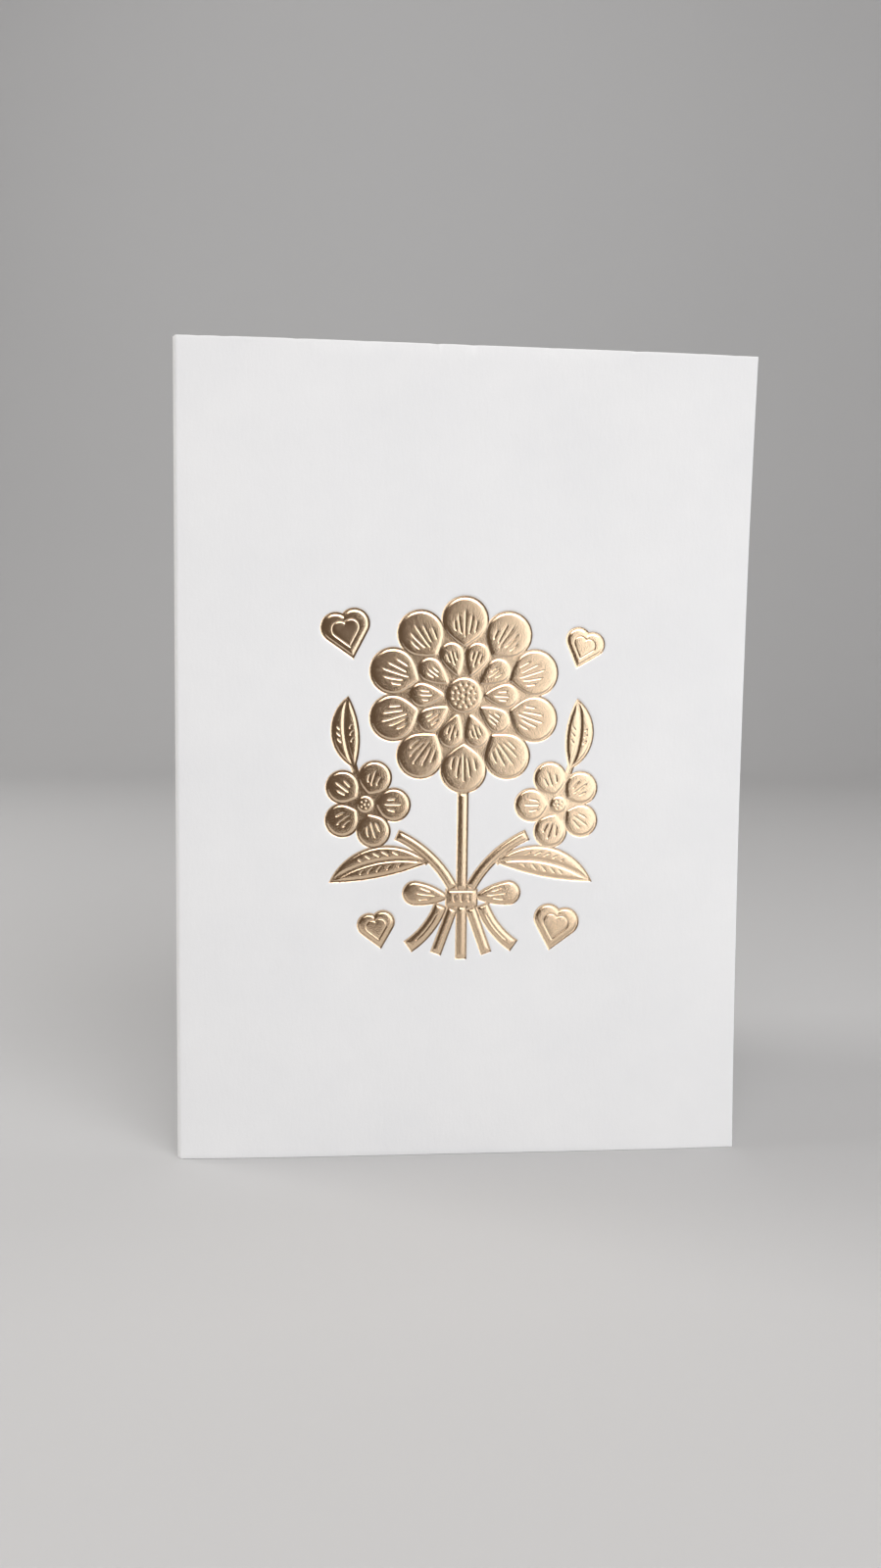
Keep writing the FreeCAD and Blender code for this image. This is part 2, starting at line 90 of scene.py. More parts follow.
# Design, measured from its own middle
DESIGN_SHIFT = -0.5
DESIGN_HEIGHT = 71.5
FOIL_MARGIN = 0.45
PAD_GAP = 1.2 * FOIL_MARGIN
BLOOM_CENTRE = (0.0, 14.4)
BLOOM_PETALS = 10
BLOOM_HEART_RADIUS = 3.2
INNER_PETAL_TIP = 9.9
OUTER_PETAL_ROOT = 8.9
OUTER_PETAL_TIP = 17.6
PETAL_ROOT_RADIUS = 0.45
PETAL_SIDE_BOW = 1.6
SMALL_BLOOM_CENTRE = (17.9, -5.6)
SMALL_PETALS = 5
SMALL_BLOOM_HEART_RADIUS = 1.5
SMALL_PETAL_TIP = 7.9
SMALL_BLOOM_TURN_DEG = 19.0
LOWER_LEAF_TIP = (23.8, -19.6)
LOWER_LEAF_BOW = 1.7
LOWER_LEAF_HALF_WIDTH = 2.5
UPPER_LEAF_TIP = (21.2, 13.4)
UPPER_LEAF_BOW = -1.0
UPPER_LEAF_HALF_WIDTH = 2.2
MIDRIB_GAP = 0.5
STALK_WIDTH = 0.4
STEM_WIDTH = 1.25
SIDE_STEM_BOW = 1.1
STEM_FOOT = (4.6, -33.0)
MIDDLE_STEM_FOOT = -34.0
KNOT_CENTRE = (0.0, -23.0)
KNOT_WIDTH = 5.2
KNOT_HEIGHT = 2.6
LOOP_REACH = 10.6
LOOP_LIFT = 1.2
LOOP_ROUND = 1.9
TAIL_END = (9.6, -8.8)
TAIL_BOW = 0.7
RIBBON_WIDTH = 1.7
# Single hearts as (x, z, width, tilt in degrees), and their outline as shares of the width
HEARTS = (
    (-21.4, 25.4, 8.2, 14.0),
    (22.0, 23.4, 6.6, -18.0),
    (-15.6, -28.6, 6.2, 12.0),
    (17.6, -28.4, 7.8, -13.0),
)
HEART_LOBE = 0.29
HEART_LOBE_UP = 0.16
HEART_DROP = 0.52
HEART_CROWN = (0.6, 0.8)
HEART_ECHO = 0.6

# Pressing, as depths behind the front face: slopes as (growth of the field, depth), the bevel as
# (inset of the pad, depth), a groove's contours as (share of its half width, extra, share of its depth)
PAPER_SLOPE = ((0.90, 0.0), (0.74, 0.008), (0.62, 0.032), (0.52, 0.072))
PAPER_AT_FOIL = 0.105
FOIL_SLOPE = ((0.37, 0.135), (0.29, 0.150))
FOIL_AT_EDGE = 0.100
VALLEY = 0.150
BEVEL = ((-0.08, 0.150), (0.0, 0.143), (0.07, 0.120), (0.22, 0.052), (0.30, 0.026))
PLATEAU_INSET = 0.40
PLATEAU_EDGE = 0.015
PILLOW = 0.034
PILLOW_REACH = 0.75
FILM_CLEAR = 0.005
GROOVE_DEPTH = 0.085
GROOVE_HALF = 0.20
GROOVE_CONTOURS = ((1.0, 0.05, 0.0), (1.0, 0.0, 0.06), (0.60, 0.0, 0.62))
HEART_LINE_HALF = 0.17
UNDER_EDGE = 0.165
UNDER_VALLEY = 0.195
UNDER_PLATEAU = 0.120
INNER_RELIEF = 0.03

# Engraved strokes as (lean, start, end): degrees on the petals, a slope on the ribbon's loops
INNER_STROKES = ((0, 1.7, 4.7), (15, 2.6, 4.3), (-15, 2.6, 4.3))
OUTER_STROKES = ((0, 1.6, 6.9), (17, 2.3, 6.2), (-17, 2.3, 6.2), (35, 2.9, 5.2), (-35, 2.9, 5.2))
SMALL_STROKES = ((0, 1.4, 4.6), (24, 1.9, 4.0), (-24, 1.9, 4.0))
LOOP_STROKES = ((0, 1.5, 5.4), (0.24, 2.5, 4.9), (-0.24, 2.5, 4.9))
STROKE_POINTS = 7
LOOP_POINTS = 5
TAIL_POINTS = 9
STROKE_CURL = 0.30
LEAN_SPREAD = 1.1
START_SPREAD = (-0.12, 0.2)
END_SPREAD = (-0.3, 0.22)
GROOVE_STEP = 0.42
GROOVE_FEWEST = 5
GROOVE_TAPER = 0.28
GROOVE_TIP = 0.35
FINE_HALF = 0.19
KNOT_FOLDS = (-1.3, 0.0, 1.3)
KNOT_FOLD_REACH = 0.78
KNOT_FOLD_BULGE = 1.15
TAIL_LINE = (0.14, 0.86)
TAIL_LINE_HALF = 0.18
VEIN_STARTS = np.arange(0.16, 0.74, 0.10)
VEIN_RUN = np.arange(0.1, 4.0, 0.1)
VEIN_LEAN_DEG = 46
VEIN_CURL_DEG = 4
VEIN_MIDRIB_GAP = 0.13
VEIN_EDGE_GAP = 0.24
VEIN_LEAST = 9

# Pits in a bloom's heart: the middle one's radius, and rings as (count, steps turned, reach, radius)
BLOOM_PITS = (0.38, ((6, 0.5, 1.12, 0.27), (12, 0.5, 2.05, 0.25)))
SMALL_PITS = (0.24, ((SMALL_PETALS, 0, 0.72, 0.18),))
PIT_SIDES = 12
PIT_SHOULDER = 0.8
PIT_FLOOR = 0.22
HAND = random.Random(5)

# Mesh steps over the sheet and along outlines, and free points as (step, gap to the points there).
# The plainer surface under the foil has lines as (inset of the pad, depth).
SIDE_STRIP = 1.0
TOP_STRIP = 1.2
FOLD_STRIP = 3.0
ALONG_STEPS = (0.4, 0.62, 0.62, 0.62, 0.06, 0.075, 0.06, 0.75, 1.5, 0.5)
UP_STEPS = (0.5, 2.1, 0.5)
PAPER_STEP = 0.5
RIM_STEP = 0.32
FOIL_STEP = 0.36
ECHO_STEP = 0.2
UNDER_STEP = 0.9
UNDER_LINES = ((-0.05, UNDER_VALLEY), (0.44, UNDER_PLATEAU))
UNDER_FREE = (1.3, 0.5)
UNDER_PAD_INSET = 0.2
UNDER_PAD_STEP = 0.6
FRONT_FREE = ((0.62, 0.24), (2.0, 1.0))
INNER_FREE = ((0.75, 0.5), (2.2, 1.2))
DESIGN_BOX = ((-27.5, -36.5), (27.5, 34.0))
FLAT_CLEAR = 1.5
ROW_GAP = 0.866
ARC_TURN = 0.6
SHORT_SIDE = 0.25
LEAST_OPENING = 0.12
LEAST_CORNERS = 6
TOUCH = 1e-6
PRESS_BOX = ((-30.0, -40.0), (30.0, 38.0))
PRESS_STEP = 0.25
PRESS_LINE = 0.4
PRESS_BLURS = 4
SHARP_EDGE = math.radians(48)

# The set
FLOOR_FRONT = -0.235
FLOOR_BACK = 0.9
FLOOR_HALF_WIDTH = 1.0
COVE_CORNER = 0.45
COVE_RADIUS = 0.6
COVE_TURNS = 12
COVE_STEPS = 16
WALL_HEIGHTS = (1.4, 2.6)
FLOOR_INSETS = (-0.3, -0.04)
FLOOR_TONES = ((0.490, 0.492, 0.496), (0.510, 0.511, 0.513))
FLOOR_CLOUDS = (1.2, 2.0)
FLOOR_ROUGHNESS = 0.9

# Lamps as name, place, aim, width, height, power and colour
LAMPS = (
    ("window", (1.27, -1.52, 0.37), (0, 0, 0.10), 2.2, 2.2, 22.8, (0.92, 0.957, 1.0)),
    ("high", (0.12, -0.66, 0.80), (0, 0, 0.12), 0.9, 0.7, 7.6, (1.0, 0.985, 0.975)),
    ("side", (-1.00, 0.20, 0.62), (0, 0, 0.07), 0.6, 0.6, 6.5, (1.0, 0.985, 0.96)),
    ("backdrop", (0.0, 0.35, 1.55), (0, 1.5, 0.40), 1.8, 0.6, 7.5, (1.0, 1.0, 1.0)),
)
WORLD_COLOUR = (1.0, 0.79, 0.64, 1)
WORLD_STRENGTH = 0.115

# Camera, fitted to the corners of the front panel in the photograph
CAMERA_PLACE = (-0.0227, -0.2499, 0.0865)
CAMERA_TURNS_DEG = (4.94, -4.58, 0.70)
FOCAL_PIXELS = 1174.75
PICTURE_HEIGHT = 1600
SENSOR = 36
CLIP_START = 0.01

# Materials: tones, noise as (scale, detail, roughness), bump as (strength, height)
CLOUD_SPAN = (0.3, 0.7)
BOARD_TONES = ((0.802, 0.808, 0.818), (0.832, 0.836, 0.842))
BOARD_CLOUDS = (60.0, 4.0, 0.6)
BOARD_SPECULAR = 0.25
BOARD_ROUGHNESS = (0.82, 0.95)
BOARD_MATT = (900.0, 2.0)
BOARD_TOOTH = (2600.0, 5.0, 0.65)
BOARD_FIBRE = (1500.0, 3.0)
FIBRE_STRETCH = (1.0, 1.0, 0.3)
BOARD_BUMP = (0.5, 0.00004)
FOIL_TONES = ((0.87, 0.645, 0.435), (0.91, 0.695, 0.485))
FOIL_CLOUDS = (130.0, 3.0, 0.55)
FOIL_ROUGHNESS = (0.12, 0.18)
FOIL_SATIN = (420.0, 3.0)
FOIL_GRAIN = 6200.0
FOIL_TOOTH = (3400.0, 4.0, 0.62)
FOIL_BUMP = (0.62, 0.00002)


class Path:
    """The sheet's middle line in plan, as lengths and turns to the right."""

    def __init__(self):
        self.flat = 2 * (SMALL_BLOOM_CENTRE[0] + SMALL_PETAL_TIP + FLAT_BORDER)
        self.margin = (PANEL_WIDTH - self.flat) / 2
        bend_turn = (math.pi - OPENING - MARGIN_TURN - BACK_TURN / 2) / 2
        bend = BEND_RADIUS * bend_turn
        crease_half = SPINE_WIDTH / 2 + bend
        stretches = [
            (self.margin, MARGIN_TURN),
            (self.flat, 0.0),
            (self.margin - crease_half, MARGIN_TURN),
            (bend, bend_turn),
            (SPINE_WIDTH, 0.0),
            (bend, bend_turn),
            (PANEL_WIDTH - crease_half, BACK_TURN),
        ]
        self.lengths = np.array([length for length, _ in stretches])
        self.bends = np.array([turn / length for length, turn in stretches])
        self.marks = np.concatenate([[0.0], np.cumsum(self.lengths)])
        self.total = self.marks[-1]
        self.spine = (self.marks[4] + self.marks[5]) / 2
        x, y, heading = 0.0, 0.0, math.pi + MARGIN_TURN
        starts = []
        for length, bend in zip(self.lengths, self.bends):
            starts.append((x, y, heading))
            x, y, heading = self.step(x, y, heading, bend, length)
        self.starts = np.array(starts)

    @staticmethod
    def step(x, y, heading, bend, run):
        """Where a run ends that bends evenly or goes straight, and its heading there."""
        straight = np.abs(bend) < STRAIGHT
        safe = np.where(straight, 1.0, bend)
        new = heading - bend * run
        ahead = np.where(straight, run * np.cos(heading), (np.sin(heading) - np.sin(new)) / safe)
        aside = np.where(straight, run * np.sin(heading), (np.cos(new) - np.cos(heading)) / safe)
        return x + ahead, y + aside, new

    def at(self, s):
        """Points and headings at distances along the line."""
        s = np.asarray(s, float)
        which = np.clip(np.searchsorted(self.marks, s, side="right") - 1, 0, len(self.lengths) - 1)
        x, y, heading = np.moveaxis(self.starts[which], -1, 0)
        return self.step(x, y, heading, self.bends[which], s - self.marks[which])


PATH = Path()
FLAT_HALF = PATH.flat / 2 - SIDE_STRIP
FLAT_TOP = PANEL_HEIGHT - DESIGN_HEIGHT - FLAT_CLEAR
FLAT_BOX = ((-FLAT_HALF, FLAT_CLEAR - DESIGN_HEIGHT), (FLAT_HALF, FLAT_TOP))
DESIGN_S = PATH.marks[1] + PATH.flat / 2 - DESIGN_SHIFT


def frame_shift():
    """From the path's own start to the frame, whose origin is the middle of the footprint."""
    low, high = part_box("folded_sheet")
    first_x = PATH.at(0.0)[0] - math.sin(math.pi + MARGIN_TURN) * STOCK / 2
    flat_y = PATH.at(PATH.marks[1])[1] - STOCK / 2
    return high.x * METRE - float(first_x), low.y * METRE - float(flat_y)


SHIFT = frame_shift()


def panel_bow(s, z):
    """How far the board stands in: a bow of the free edges, most at mid height, and slight waves."""
    up = 4 * (z / PANEL_HEIGHT) * (1 - z / PANEL_HEIGHT)
    front = np.clip((PATH.spine - s) / PATH.spine, 0, 1)
    back = np.clip((s - PATH.spine) / (PATH.total - PATH.spine), 0, 1)
    bow = up * (FREE_EDGE_BOW * front ** 2 + BACK_EDGE_BOW * back ** 2)
    reach = np.clip(np.maximum(front, back) * WAVE_RISE, 0, 1)
    level = np.sin(s * WAVE_ALONG[0] + WAVE_ALONG[1]) * np.cos(z * WAVE_UP[0] + WAVE_UP[1])
    waves = WAVE_MEAN + level + np.sin(z * WAVE_SLANT[0] - s * WAVE_SLANT[1])
    return bow + WAVE_HEIGHT * waves * reach * up


def place(s, z, depth):
    """World points in millimetres: distance along the sheet, height, depth behind the outer face."""
    s, z, depth = np.broadcast_arrays(np.asarray(s, float), np.asarray(z, float), np.asarray(depth, float))
    x, y, h = PATH.at(s)
    offset = STOCK / 2 - depth - panel_bow(s, z)
    return np.stack([x - np.sin(h) * offset + SHIFT[0], y + np.cos(h) * offset + SHIFT[1], z], axis=-1)


def beside(origin, axis):
    """Places as a function of the way along an axis and to its left."""
    def at(s, w):
        return (origin[0] + axis[0] * s - axis[1] * w, origin[1] + axis[1] * s + axis[0] * w)

    return at


def along(a, b):
    """Places by the way from a towards b and to its left, and the distance from a to b."""
    dx, dz = b[0] - a[0], b[1] - a[1]
    length = math.hypot(dx, dz)
    return beside(a, (dx / length, dz / length)), length


def beyond(a, b, distance):
    return along(a, b)[0](distance, 0)


def polar(centre, turn, reach):
    return (centre[0] + reach * math.cos(turn), centre[1] + reach * math.sin(turn))


def meeting(centre_1, radius_1, centre_2, radius_2, hand):
    """Where two circles cross, on the left of the line between their centres for hand 1."""
    at, distance = along(centre_1, centre_2)
    s = (distance ** 2 + radius_1 ** 2 - radius_2 ** 2) / (2 * distance)
    return at(s, hand * math.sqrt(radius_1 ** 2 - s ** 2))


def disc(centre, radius):
    def outline(inset):
        r = radius - inset
        east, west = (centre[0] + r, centre[1]), (centre[0] - r, centre[1])
        north, south = (centre[0], centre[1] + r), (centre[0], centre[1] - r)
        return [east, ("arc", north, west), ("arc", south, east)]

    return outline


def petal(root, tip, root_radius, tip_radius):
    """Round at both ends, with sides that are arcs tangent to the two ends."""
    at, length = along(root, tip)
    bend = PETAL_SIDE_BOW * length
    foot, head = at(root_radius, 0), at(length - tip_radius, 0)
    centres = [meeting(foot, bend - root_radius, head, bend - tip_radius, hand) for hand in (-1, 1)]

    def outline(inset):
        sides = []
        for centre in centres:
            low, high = beyond(centre, foot, bend - inset), beyond(centre, head, bend - inset)
            middle = ((low[0] + high[0]) / 2, (low[1] + high[1]) / 2)
            sides.append((low, beyond(centre, middle, bend - inset), high))
        left, right = sides
        return [
            left[0],
            ("arc", left[1], left[2]),
            ("arc", at(length - inset, 0), right[2]),
            ("arc", right[1], right[0]),
            ("arc", at(inset, 0), left[0]),
        ]

    return outline


def blade(root, tip, left_bow, right_bow, left_trim=0, right_trim=0):
    """Pointed at both ends, between two arcs. Both bows are measured to the left of the line."""
    at, length = along(root, tip)

    def outline(inset):
        circles, middles = [], []
        for bow, moved in ((left_bow, inset + left_trim), (right_bow, -inset - right_trim)):
            radius = (length ** 2 / 4 + bow ** 2) / (2 * abs(bow))
            bulge = math.copysign(1, bow)
            circles += [at(length / 2, bow - bulge * radius), radius - bulge * moved]
            middles.append(at(length / 2, bow - moved))
        ends = [meeting(*circles, hand) for hand in (1, -1)]
        ends.sort(key=lambda end: math.hypot(end[0] - root[0], end[1] - root[1]))
        return [ends[0], ("arc", middles[0], ends[1]), ("arc", middles[1], ends[0])]

    return outline


def strap(root, tip, bow, width):
    """Band of constant width along an arc, or straight where the bow is 0, with square ends."""
    at, length = along(root, tip)
    lean = 2 * math.atan(2 * bow / length)

    def outline(inset):
        half = width / 2 - inset

        def corner(s, sign):
            tilt, run = (lean, inset) if s == 0 else (-lean, -inset)
            ahead = s + math.cos(tilt) * run - math.sin(tilt) * sign * half
            return at(ahead, math.sin(tilt) * run + math.cos(tilt) * sign * half)

        def run_to(sign, end):
            return ("line", end) if bow == 0 else ("arc", at(length / 2, bow + sign * half), end)

        start = corner(0, 1)
        return [
            start,
            run_to(1, corner(length, 1)),
            ("line", corner(length, -1)),
            run_to(-1, corner(0, -1)),
            ("line", start),
        ]

    return outline


def heart(centre, width, tilt_deg):
    """Two round lobes and straight sides, tangent to the lobes, down to the point."""
    tilt = math.radians(tilt_deg)
    at = beside(centre, (math.cos(tilt), math.sin(tilt)))
    lobe_radius = HEART_LOBE * width
    lobe_across = width / 2 - lobe_radius
    lobe_up = HEART_LOBE_UP * width
    drop = HEART_DROP * width + lobe_up
    reach = math.hypot(lobe_across, drop)
    half_angle = math.atan2(lobe_across, drop) + math.asin(lobe_radius / reach)
    flank = (math.cos(half_angle), -math.sin(half_angle))

    def outline(inset):
        r = lobe_radius - inset

        def on_lobe(hand, way):
            return at(hand * (lobe_across + way[0] * r), lobe_up + way[1] * r)

        foot = at(0, lobe_up - drop + inset / math.sin(half_angle))
        cleft = at(0, lobe_up + math.sqrt(r ** 2 - lobe_across ** 2))
        return [
            foot,
            ("line", on_lobe(1, flank)),
            ("arc", on_lobe(1, HEART_CROWN), cleft),
            ("arc", on_lobe(-1, HEART_CROWN), on_lobe(-1, flank)),
            ("line", foot),
        ]

    return outline


def groove(points, widest=GROOVE_HALF):
    """A round-bottomed stroke along a line of points, narrow at both ends, as contour lines with depths."""
    line = np.array(points, float)
    marks = np.concatenate([[0.0], np.cumsum(np.hypot(*np.diff(line, axis=0).T))])
    count = max(GROOVE_FEWEST, int(round(marks[-1] / GROOVE_STEP)))
    run = np.linspace(0, marks[-1], count + 1)
    line = np.stack([np.interp(run, marks, line[:, i]) for i in (0, 1)], axis=1)
    t = run / run[-1]
    swell = np.clip(np.minimum(t, 1 - t) / GROOVE_TAPER, 0, 1)
    swell = np.sqrt(swell * (2 - swell))[1:-1, None]
    ahead = np.gradient(line, axis=0)
    ahead /= np.hypot(*ahead.T)[:, None]
    side = np.stack([-ahead[:, 1], ahead[:, 0]], axis=1)[1:-1]
    middle = line[1:-1]
    contours = []
    for reach, extra, share in GROOVE_CONTOURS:
        half = widest * swell * reach + extra
        tip = GROOVE_TIP * widest * reach + extra
        ends = line[:1] - ahead[:1] * tip, line[-1:] + ahead[-1:] * tip
        rim = np.concatenate([ends[0], middle - side * half, ends[1], (middle + side * half)[::-1]])
        contours.append((rim, share * GROOVE_DEPTH, True))
    contours.append((middle, GROOVE_DEPTH * swell[:, 0] ** 0.5, False))
    return contours


def pit(centre, radius):
    """A small round recess."""
    turns = np.linspace(0, math.tau, PIT_SIDES, endpoint=False)
    circle = np.stack([np.cos(turns), np.sin(turns)], axis=1)
    contours = []
    for reach, extra, share in GROOVE_CONTOURS:
        rim = np.array(centre) + circle * (radius * reach + PIT_SHOULDER * extra)
        contours.append((rim, share * GROOVE_DEPTH, True))
    contours.append((np.array(centre) + circle[::3] * PIT_FLOOR * radius, GROOVE_DEPTH, True))
    return contours


def pits(centre, middle_radius, rings, first=0.0):
    """A pit in the middle of a bloom's heart, and rings of pits round it."""
    found = [pit(centre, middle_radius)]
    for count, turned, reach, radius in rings:
        for i in range(count):
            found.append(pit(polar(centre, math.tau * (i + turned) / count + first, reach), radius))
    return found


def ring(centre, count, first_deg, root, tip, strokes):
    """Petals evenly spaced round a bloom, one gap apart, and the strokes engraved on each."""
    half = math.sin(math.pi / count)
    round_radius = (tip * half - PAD_GAP / 2) / (1 + half)
    petals, grooves = [], []
    for i in range(count):
        angle = math.radians(first_deg + 360 / count * i)
        start = polar(centre, angle, root)
        petals.append(petal(start, polar(centre, angle, tip), PETAL_ROOT_RADIUS, round_radius))
        for lean, near, far in strokes:
            lean = HAND.gauss(lean, LEAN_SPREAD)
            near += HAND.uniform(*START_SPREAD)
            far += HAND.uniform(*END_SPREAD)
            curve = []
            for t in np.linspace(0, 1, STROKE_POINTS):
                turn = angle + math.radians(lean) * (1 - STROKE_CURL * t)
                curve.append(polar(start, turn, near + (far - near) * t))
            grooves.append(groove(curve))
    return petals, grooves


def large_bloom():
    """Two rings of petals round a pitted heart."""
    centre, count = BLOOM_CENTRE, BLOOM_PETALS
    inner, inner_strokes = ring(centre, count, 90 + 180 / count, BLOOM_HEART_RADIUS + PAD_GAP,
                                INNER_PETAL_TIP, INNER_STROKES)
    outer, outer_strokes = ring(centre, count, 90, OUTER_PETAL_ROOT, OUTER_PETAL_TIP, OUTER_STROKES)
    pads = [disc(centre, BLOOM_HEART_RADIUS)] + inner + outer
    field = outer + [disc(centre, (OUTER_PETAL_ROOT + OUTER_PETAL_TIP) / 2)]
    return pads, field, inner_strokes + outer_strokes + pits(centre, *BLOOM_PITS)


def mirrored(point, hand):
    return (hand * point[0], point[1])


def small_bloom(hand):
    """One ring of petals round a pitted heart."""
    centre = mirrored(SMALL_BLOOM_CENTRE, hand)
    first = 90 + hand * SMALL_BLOOM_TURN_DEG
    petals, strokes = ring(centre, SMALL_PETALS, first, SMALL_BLOOM_HEART_RADIUS + PAD_GAP, SMALL_PETAL_TIP,
                           SMALL_STROKES)
    pads = [disc(centre, SMALL_BLOOM_HEART_RADIUS)] + petals
    field = petals + [disc(centre, (SMALL_BLOOM_HEART_RADIUS + SMALL_PETAL_TIP) / 2)]
    return pads, field, strokes + pits(centre, *SMALL_PITS, math.radians(first))


def leaf(node, root, mirror, tip, bow, half_width):
    """On a stalk from a node: two halves either side of the midrib, their field, and the side veins."""
    tip, bow, gap = mirrored(tip, mirror), mirror * bow, MIDRIB_GAP / 2
    left = blade(root, tip, bow + half_width, bow, right_trim=gap)
    right = blade(root, tip, bow, bow - half_width, left_trim=gap)
    field = [blade(root, tip, bow + half_width, bow - half_width), strap(node, root, 0, STALK_WIDTH)]
    at, length = along(root, tip)
    veins = []

    def across(b, s):
        return 4 * b * (s / length) * (1 - s / length)

    for hand in (1, -1):
        for start in VEIN_STARTS * length:
            inner = across(bow, start) + hand * (gap + PLATEAU_INSET + VEIN_MIDRIB_GAP)
            curve = [(start, inner)]
            for t in VEIN_RUN:
                lean = math.radians(VEIN_LEAN_DEG - VEIN_CURL_DEG * t)
                s, w = start + t * math.cos(lean), inner + hand * t * math.sin(lean)
                if hand * (across(bow + hand * half_width, s) - w) < PLATEAU_INSET + VEIN_EDGE_GAP:
                    break
                curve.append((s, w))
            if len(curve) >= VEIN_LEAST:
                veins.append(groove([at(s, w) for s, w in curve], widest=FINE_HALF))
    return [left, right], field, veins


def upper_leaf(hand):
    """Grows from between two petals of the small bloom, on a stalk from its heart."""
    centre = mirrored(SMALL_BLOOM_CENTRE, hand)
    angle = math.radians(90 + hand * (SMALL_BLOOM_TURN_DEG - 180 / SMALL_PETALS))
    root = polar(centre, angle, SMALL_PETAL_TIP - PAD_GAP)
    return leaf(centre, root, hand, UPPER_LEAF_TIP, UPPER_LEAF_BOW, UPPER_LEAF_HALF_WIDTH)


def lower_leaf(hand):
    """Hangs from the middle of the side stem."""
    at, length = along(*side_stem_ends(hand))
    node = at(length / 2, -hand * SIDE_STEM_BOW)
    root = at(length / 2, hand * (-SIDE_STEM_BOW + STEM_WIDTH / 2 + PAD_GAP))
    return leaf(node, root, hand, LOWER_LEAF_TIP, LOWER_LEAF_BOW, LOWER_LEAF_HALF_WIDTH)


def side_stem_ends(hand):
    """From just under the small bloom to just above the knot."""
    knot_x, knot_z = KNOT_CENTRE
    knot_top = knot_z + KNOT_HEIGHT / 2 + PAD_GAP
    end = (knot_x + hand * (STEM_WIDTH + PAD_GAP), knot_top + STEM_WIDTH / 4)
    return beyond(mirrored(SMALL_BLOOM_CENTRE, hand), end, SMALL_PETAL_TIP + PAD_GAP), end


def stems():
    """Stems from the blooms down to the knot, and their ends below it."""
    knot_x, knot_z = KNOT_CENTRE
    knot_top = knot_z + KNOT_HEIGHT / 2 + PAD_GAP
    knot_foot = knot_z - KNOT_HEIGHT / 2 - PAD_GAP
    bloom_foot = BLOOM_CENTRE[1] - OUTER_PETAL_TIP - PAD_GAP
    pads = [strap((knot_x, bloom_foot), (knot_x, knot_top), 0, STEM_WIDTH)]
    pads.append(strap((knot_x, knot_foot), (knot_x, MIDDLE_STEM_FOOT), 0, STEM_WIDTH))
    for hand in (-1, 1):
        top, end = side_stem_ends(hand)
        pads.append(strap(top, end, -hand * SIDE_STEM_BOW, STEM_WIDTH))
        start = (knot_x + hand * (STEM_WIDTH + PAD_GAP), knot_foot - STEM_WIDTH / 4)
        pads.append(strap(start, mirrored(STEM_FOOT, hand), 0, STEM_WIDTH))
    return pads, pads, []


def bow():
    """Knot, two loops and two tails, with the ribbon's folds."""
    x, z = KNOT_CENTRE
    pads = [strap((x - KNOT_WIDTH / 2, z), (x + KNOT_WIDTH / 2, z), 0, KNOT_HEIGHT)]
    folds = []
    for a in KNOT_FOLDS:
        line = [(x + a, z - KNOT_FOLD_REACH), (x + KNOT_FOLD_BULGE * a, z), (x + a, z + KNOT_FOLD_REACH)]
        folds.append(groove(line, widest=FINE_HALF))
    for hand in (-1, 1):
        side = x + hand * (KNOT_WIDTH / 2 + PAD_GAP)
        loop_root = (side, z + LOOP_LIFT / 4)
        loop_tip = (x + hand * LOOP_REACH, z + LOOP_LIFT)
        pads.append(petal(loop_root, loop_tip, PETAL_ROOT_RADIUS, LOOP_ROUND))
        at, _ = along(loop_root, loop_tip)
        for lean, near, far in LOOP_STROKES:
            line = [at(run, lean * run) for run in np.linspace(near, far, LOOP_POINTS)]
            folds.append(groove(line, widest=FINE_HALF))
        tail_root = (side + hand * RIBBON_WIDTH / 2, z - KNOT_HEIGHT / 2 - PAD_GAP / 2)
        tail_tip = (x + hand * TAIL_END[0], z + TAIL_END[1])
        pads.append(strap(tail_root, tail_tip, -hand * TAIL_BOW, RIBBON_WIDTH))
        at, length = along(tail_root, tail_tip)
        run = np.linspace(*TAIL_LINE, TAIL_POINTS) * length
        lift = -hand * TAIL_BOW * 4 * (run / length) * (1 - run / length)
        folds.append(groove([at(s, w) for s, w in zip(run, lift)], widest=TAIL_LINE_HALF))
    return pads, pads, folds


def posy():
    """Pads, field and strokes of the whole posy, each as one list."""
    motifs = [large_bloom(), stems(), bow()]
    for hand in (-1, 1):
        motifs += [small_bloom(hand), upper_leaf(hand), lower_leaf(hand)]
    return tuple([item for motif in motifs for item in motif[i]] for i in range(3))


def single_heart(x, z, width, tilt_deg):
    """A heart with one line engraved round it."""
    shape = heart((x, z), width, tilt_deg)
    line = heart((x, z), HEART_ECHO * width, tilt_deg)
    contours = []
    for reach, extra, share in GROOVE_CONTOURS:
        for hand in (-1, 1):
            rim = drawn(line(hand * (HEART_LINE_HALF * reach + extra)), ECHO_STEP)
            contours.append((rim, share * GROOVE_DEPTH, True))
    contours.append((drawn(line(0), ECHO_STEP), GROOVE_DEPTH, True))
    return [shape], [shape], [contours]


def arc(start, via, end):
    """Centre, radius, first angle and sweep of the arc through three points."""
    (ax, az), (bx, bz), (cx, cz) = start, via, end
    a2, b2, c2 = ax * ax + az * az, bx * bx + bz * bz, cx * cx + cz * cz
    twice_area = ax * (bz - cz) + bx * (cz - az) + cx * (az - bz)
    x = (a2 * (bz - cz) + b2 * (cz - az) + c2 * (az - bz)) / (2 * twice_area)
    z = (a2 * (cx - bx) + b2 * (ax - cx) + c2 * (bx - ax)) / (2 * twice_area)
    first = math.atan2(az - z, ax - x)
    through = (math.atan2(bz - z, bx - x) - first) % math.tau
    last = (math.atan2(cz - z, cx - x) - first) % math.tau
    return (x, z), math.hypot(ax - x, az - z), first, last if through < last else last - math.tau


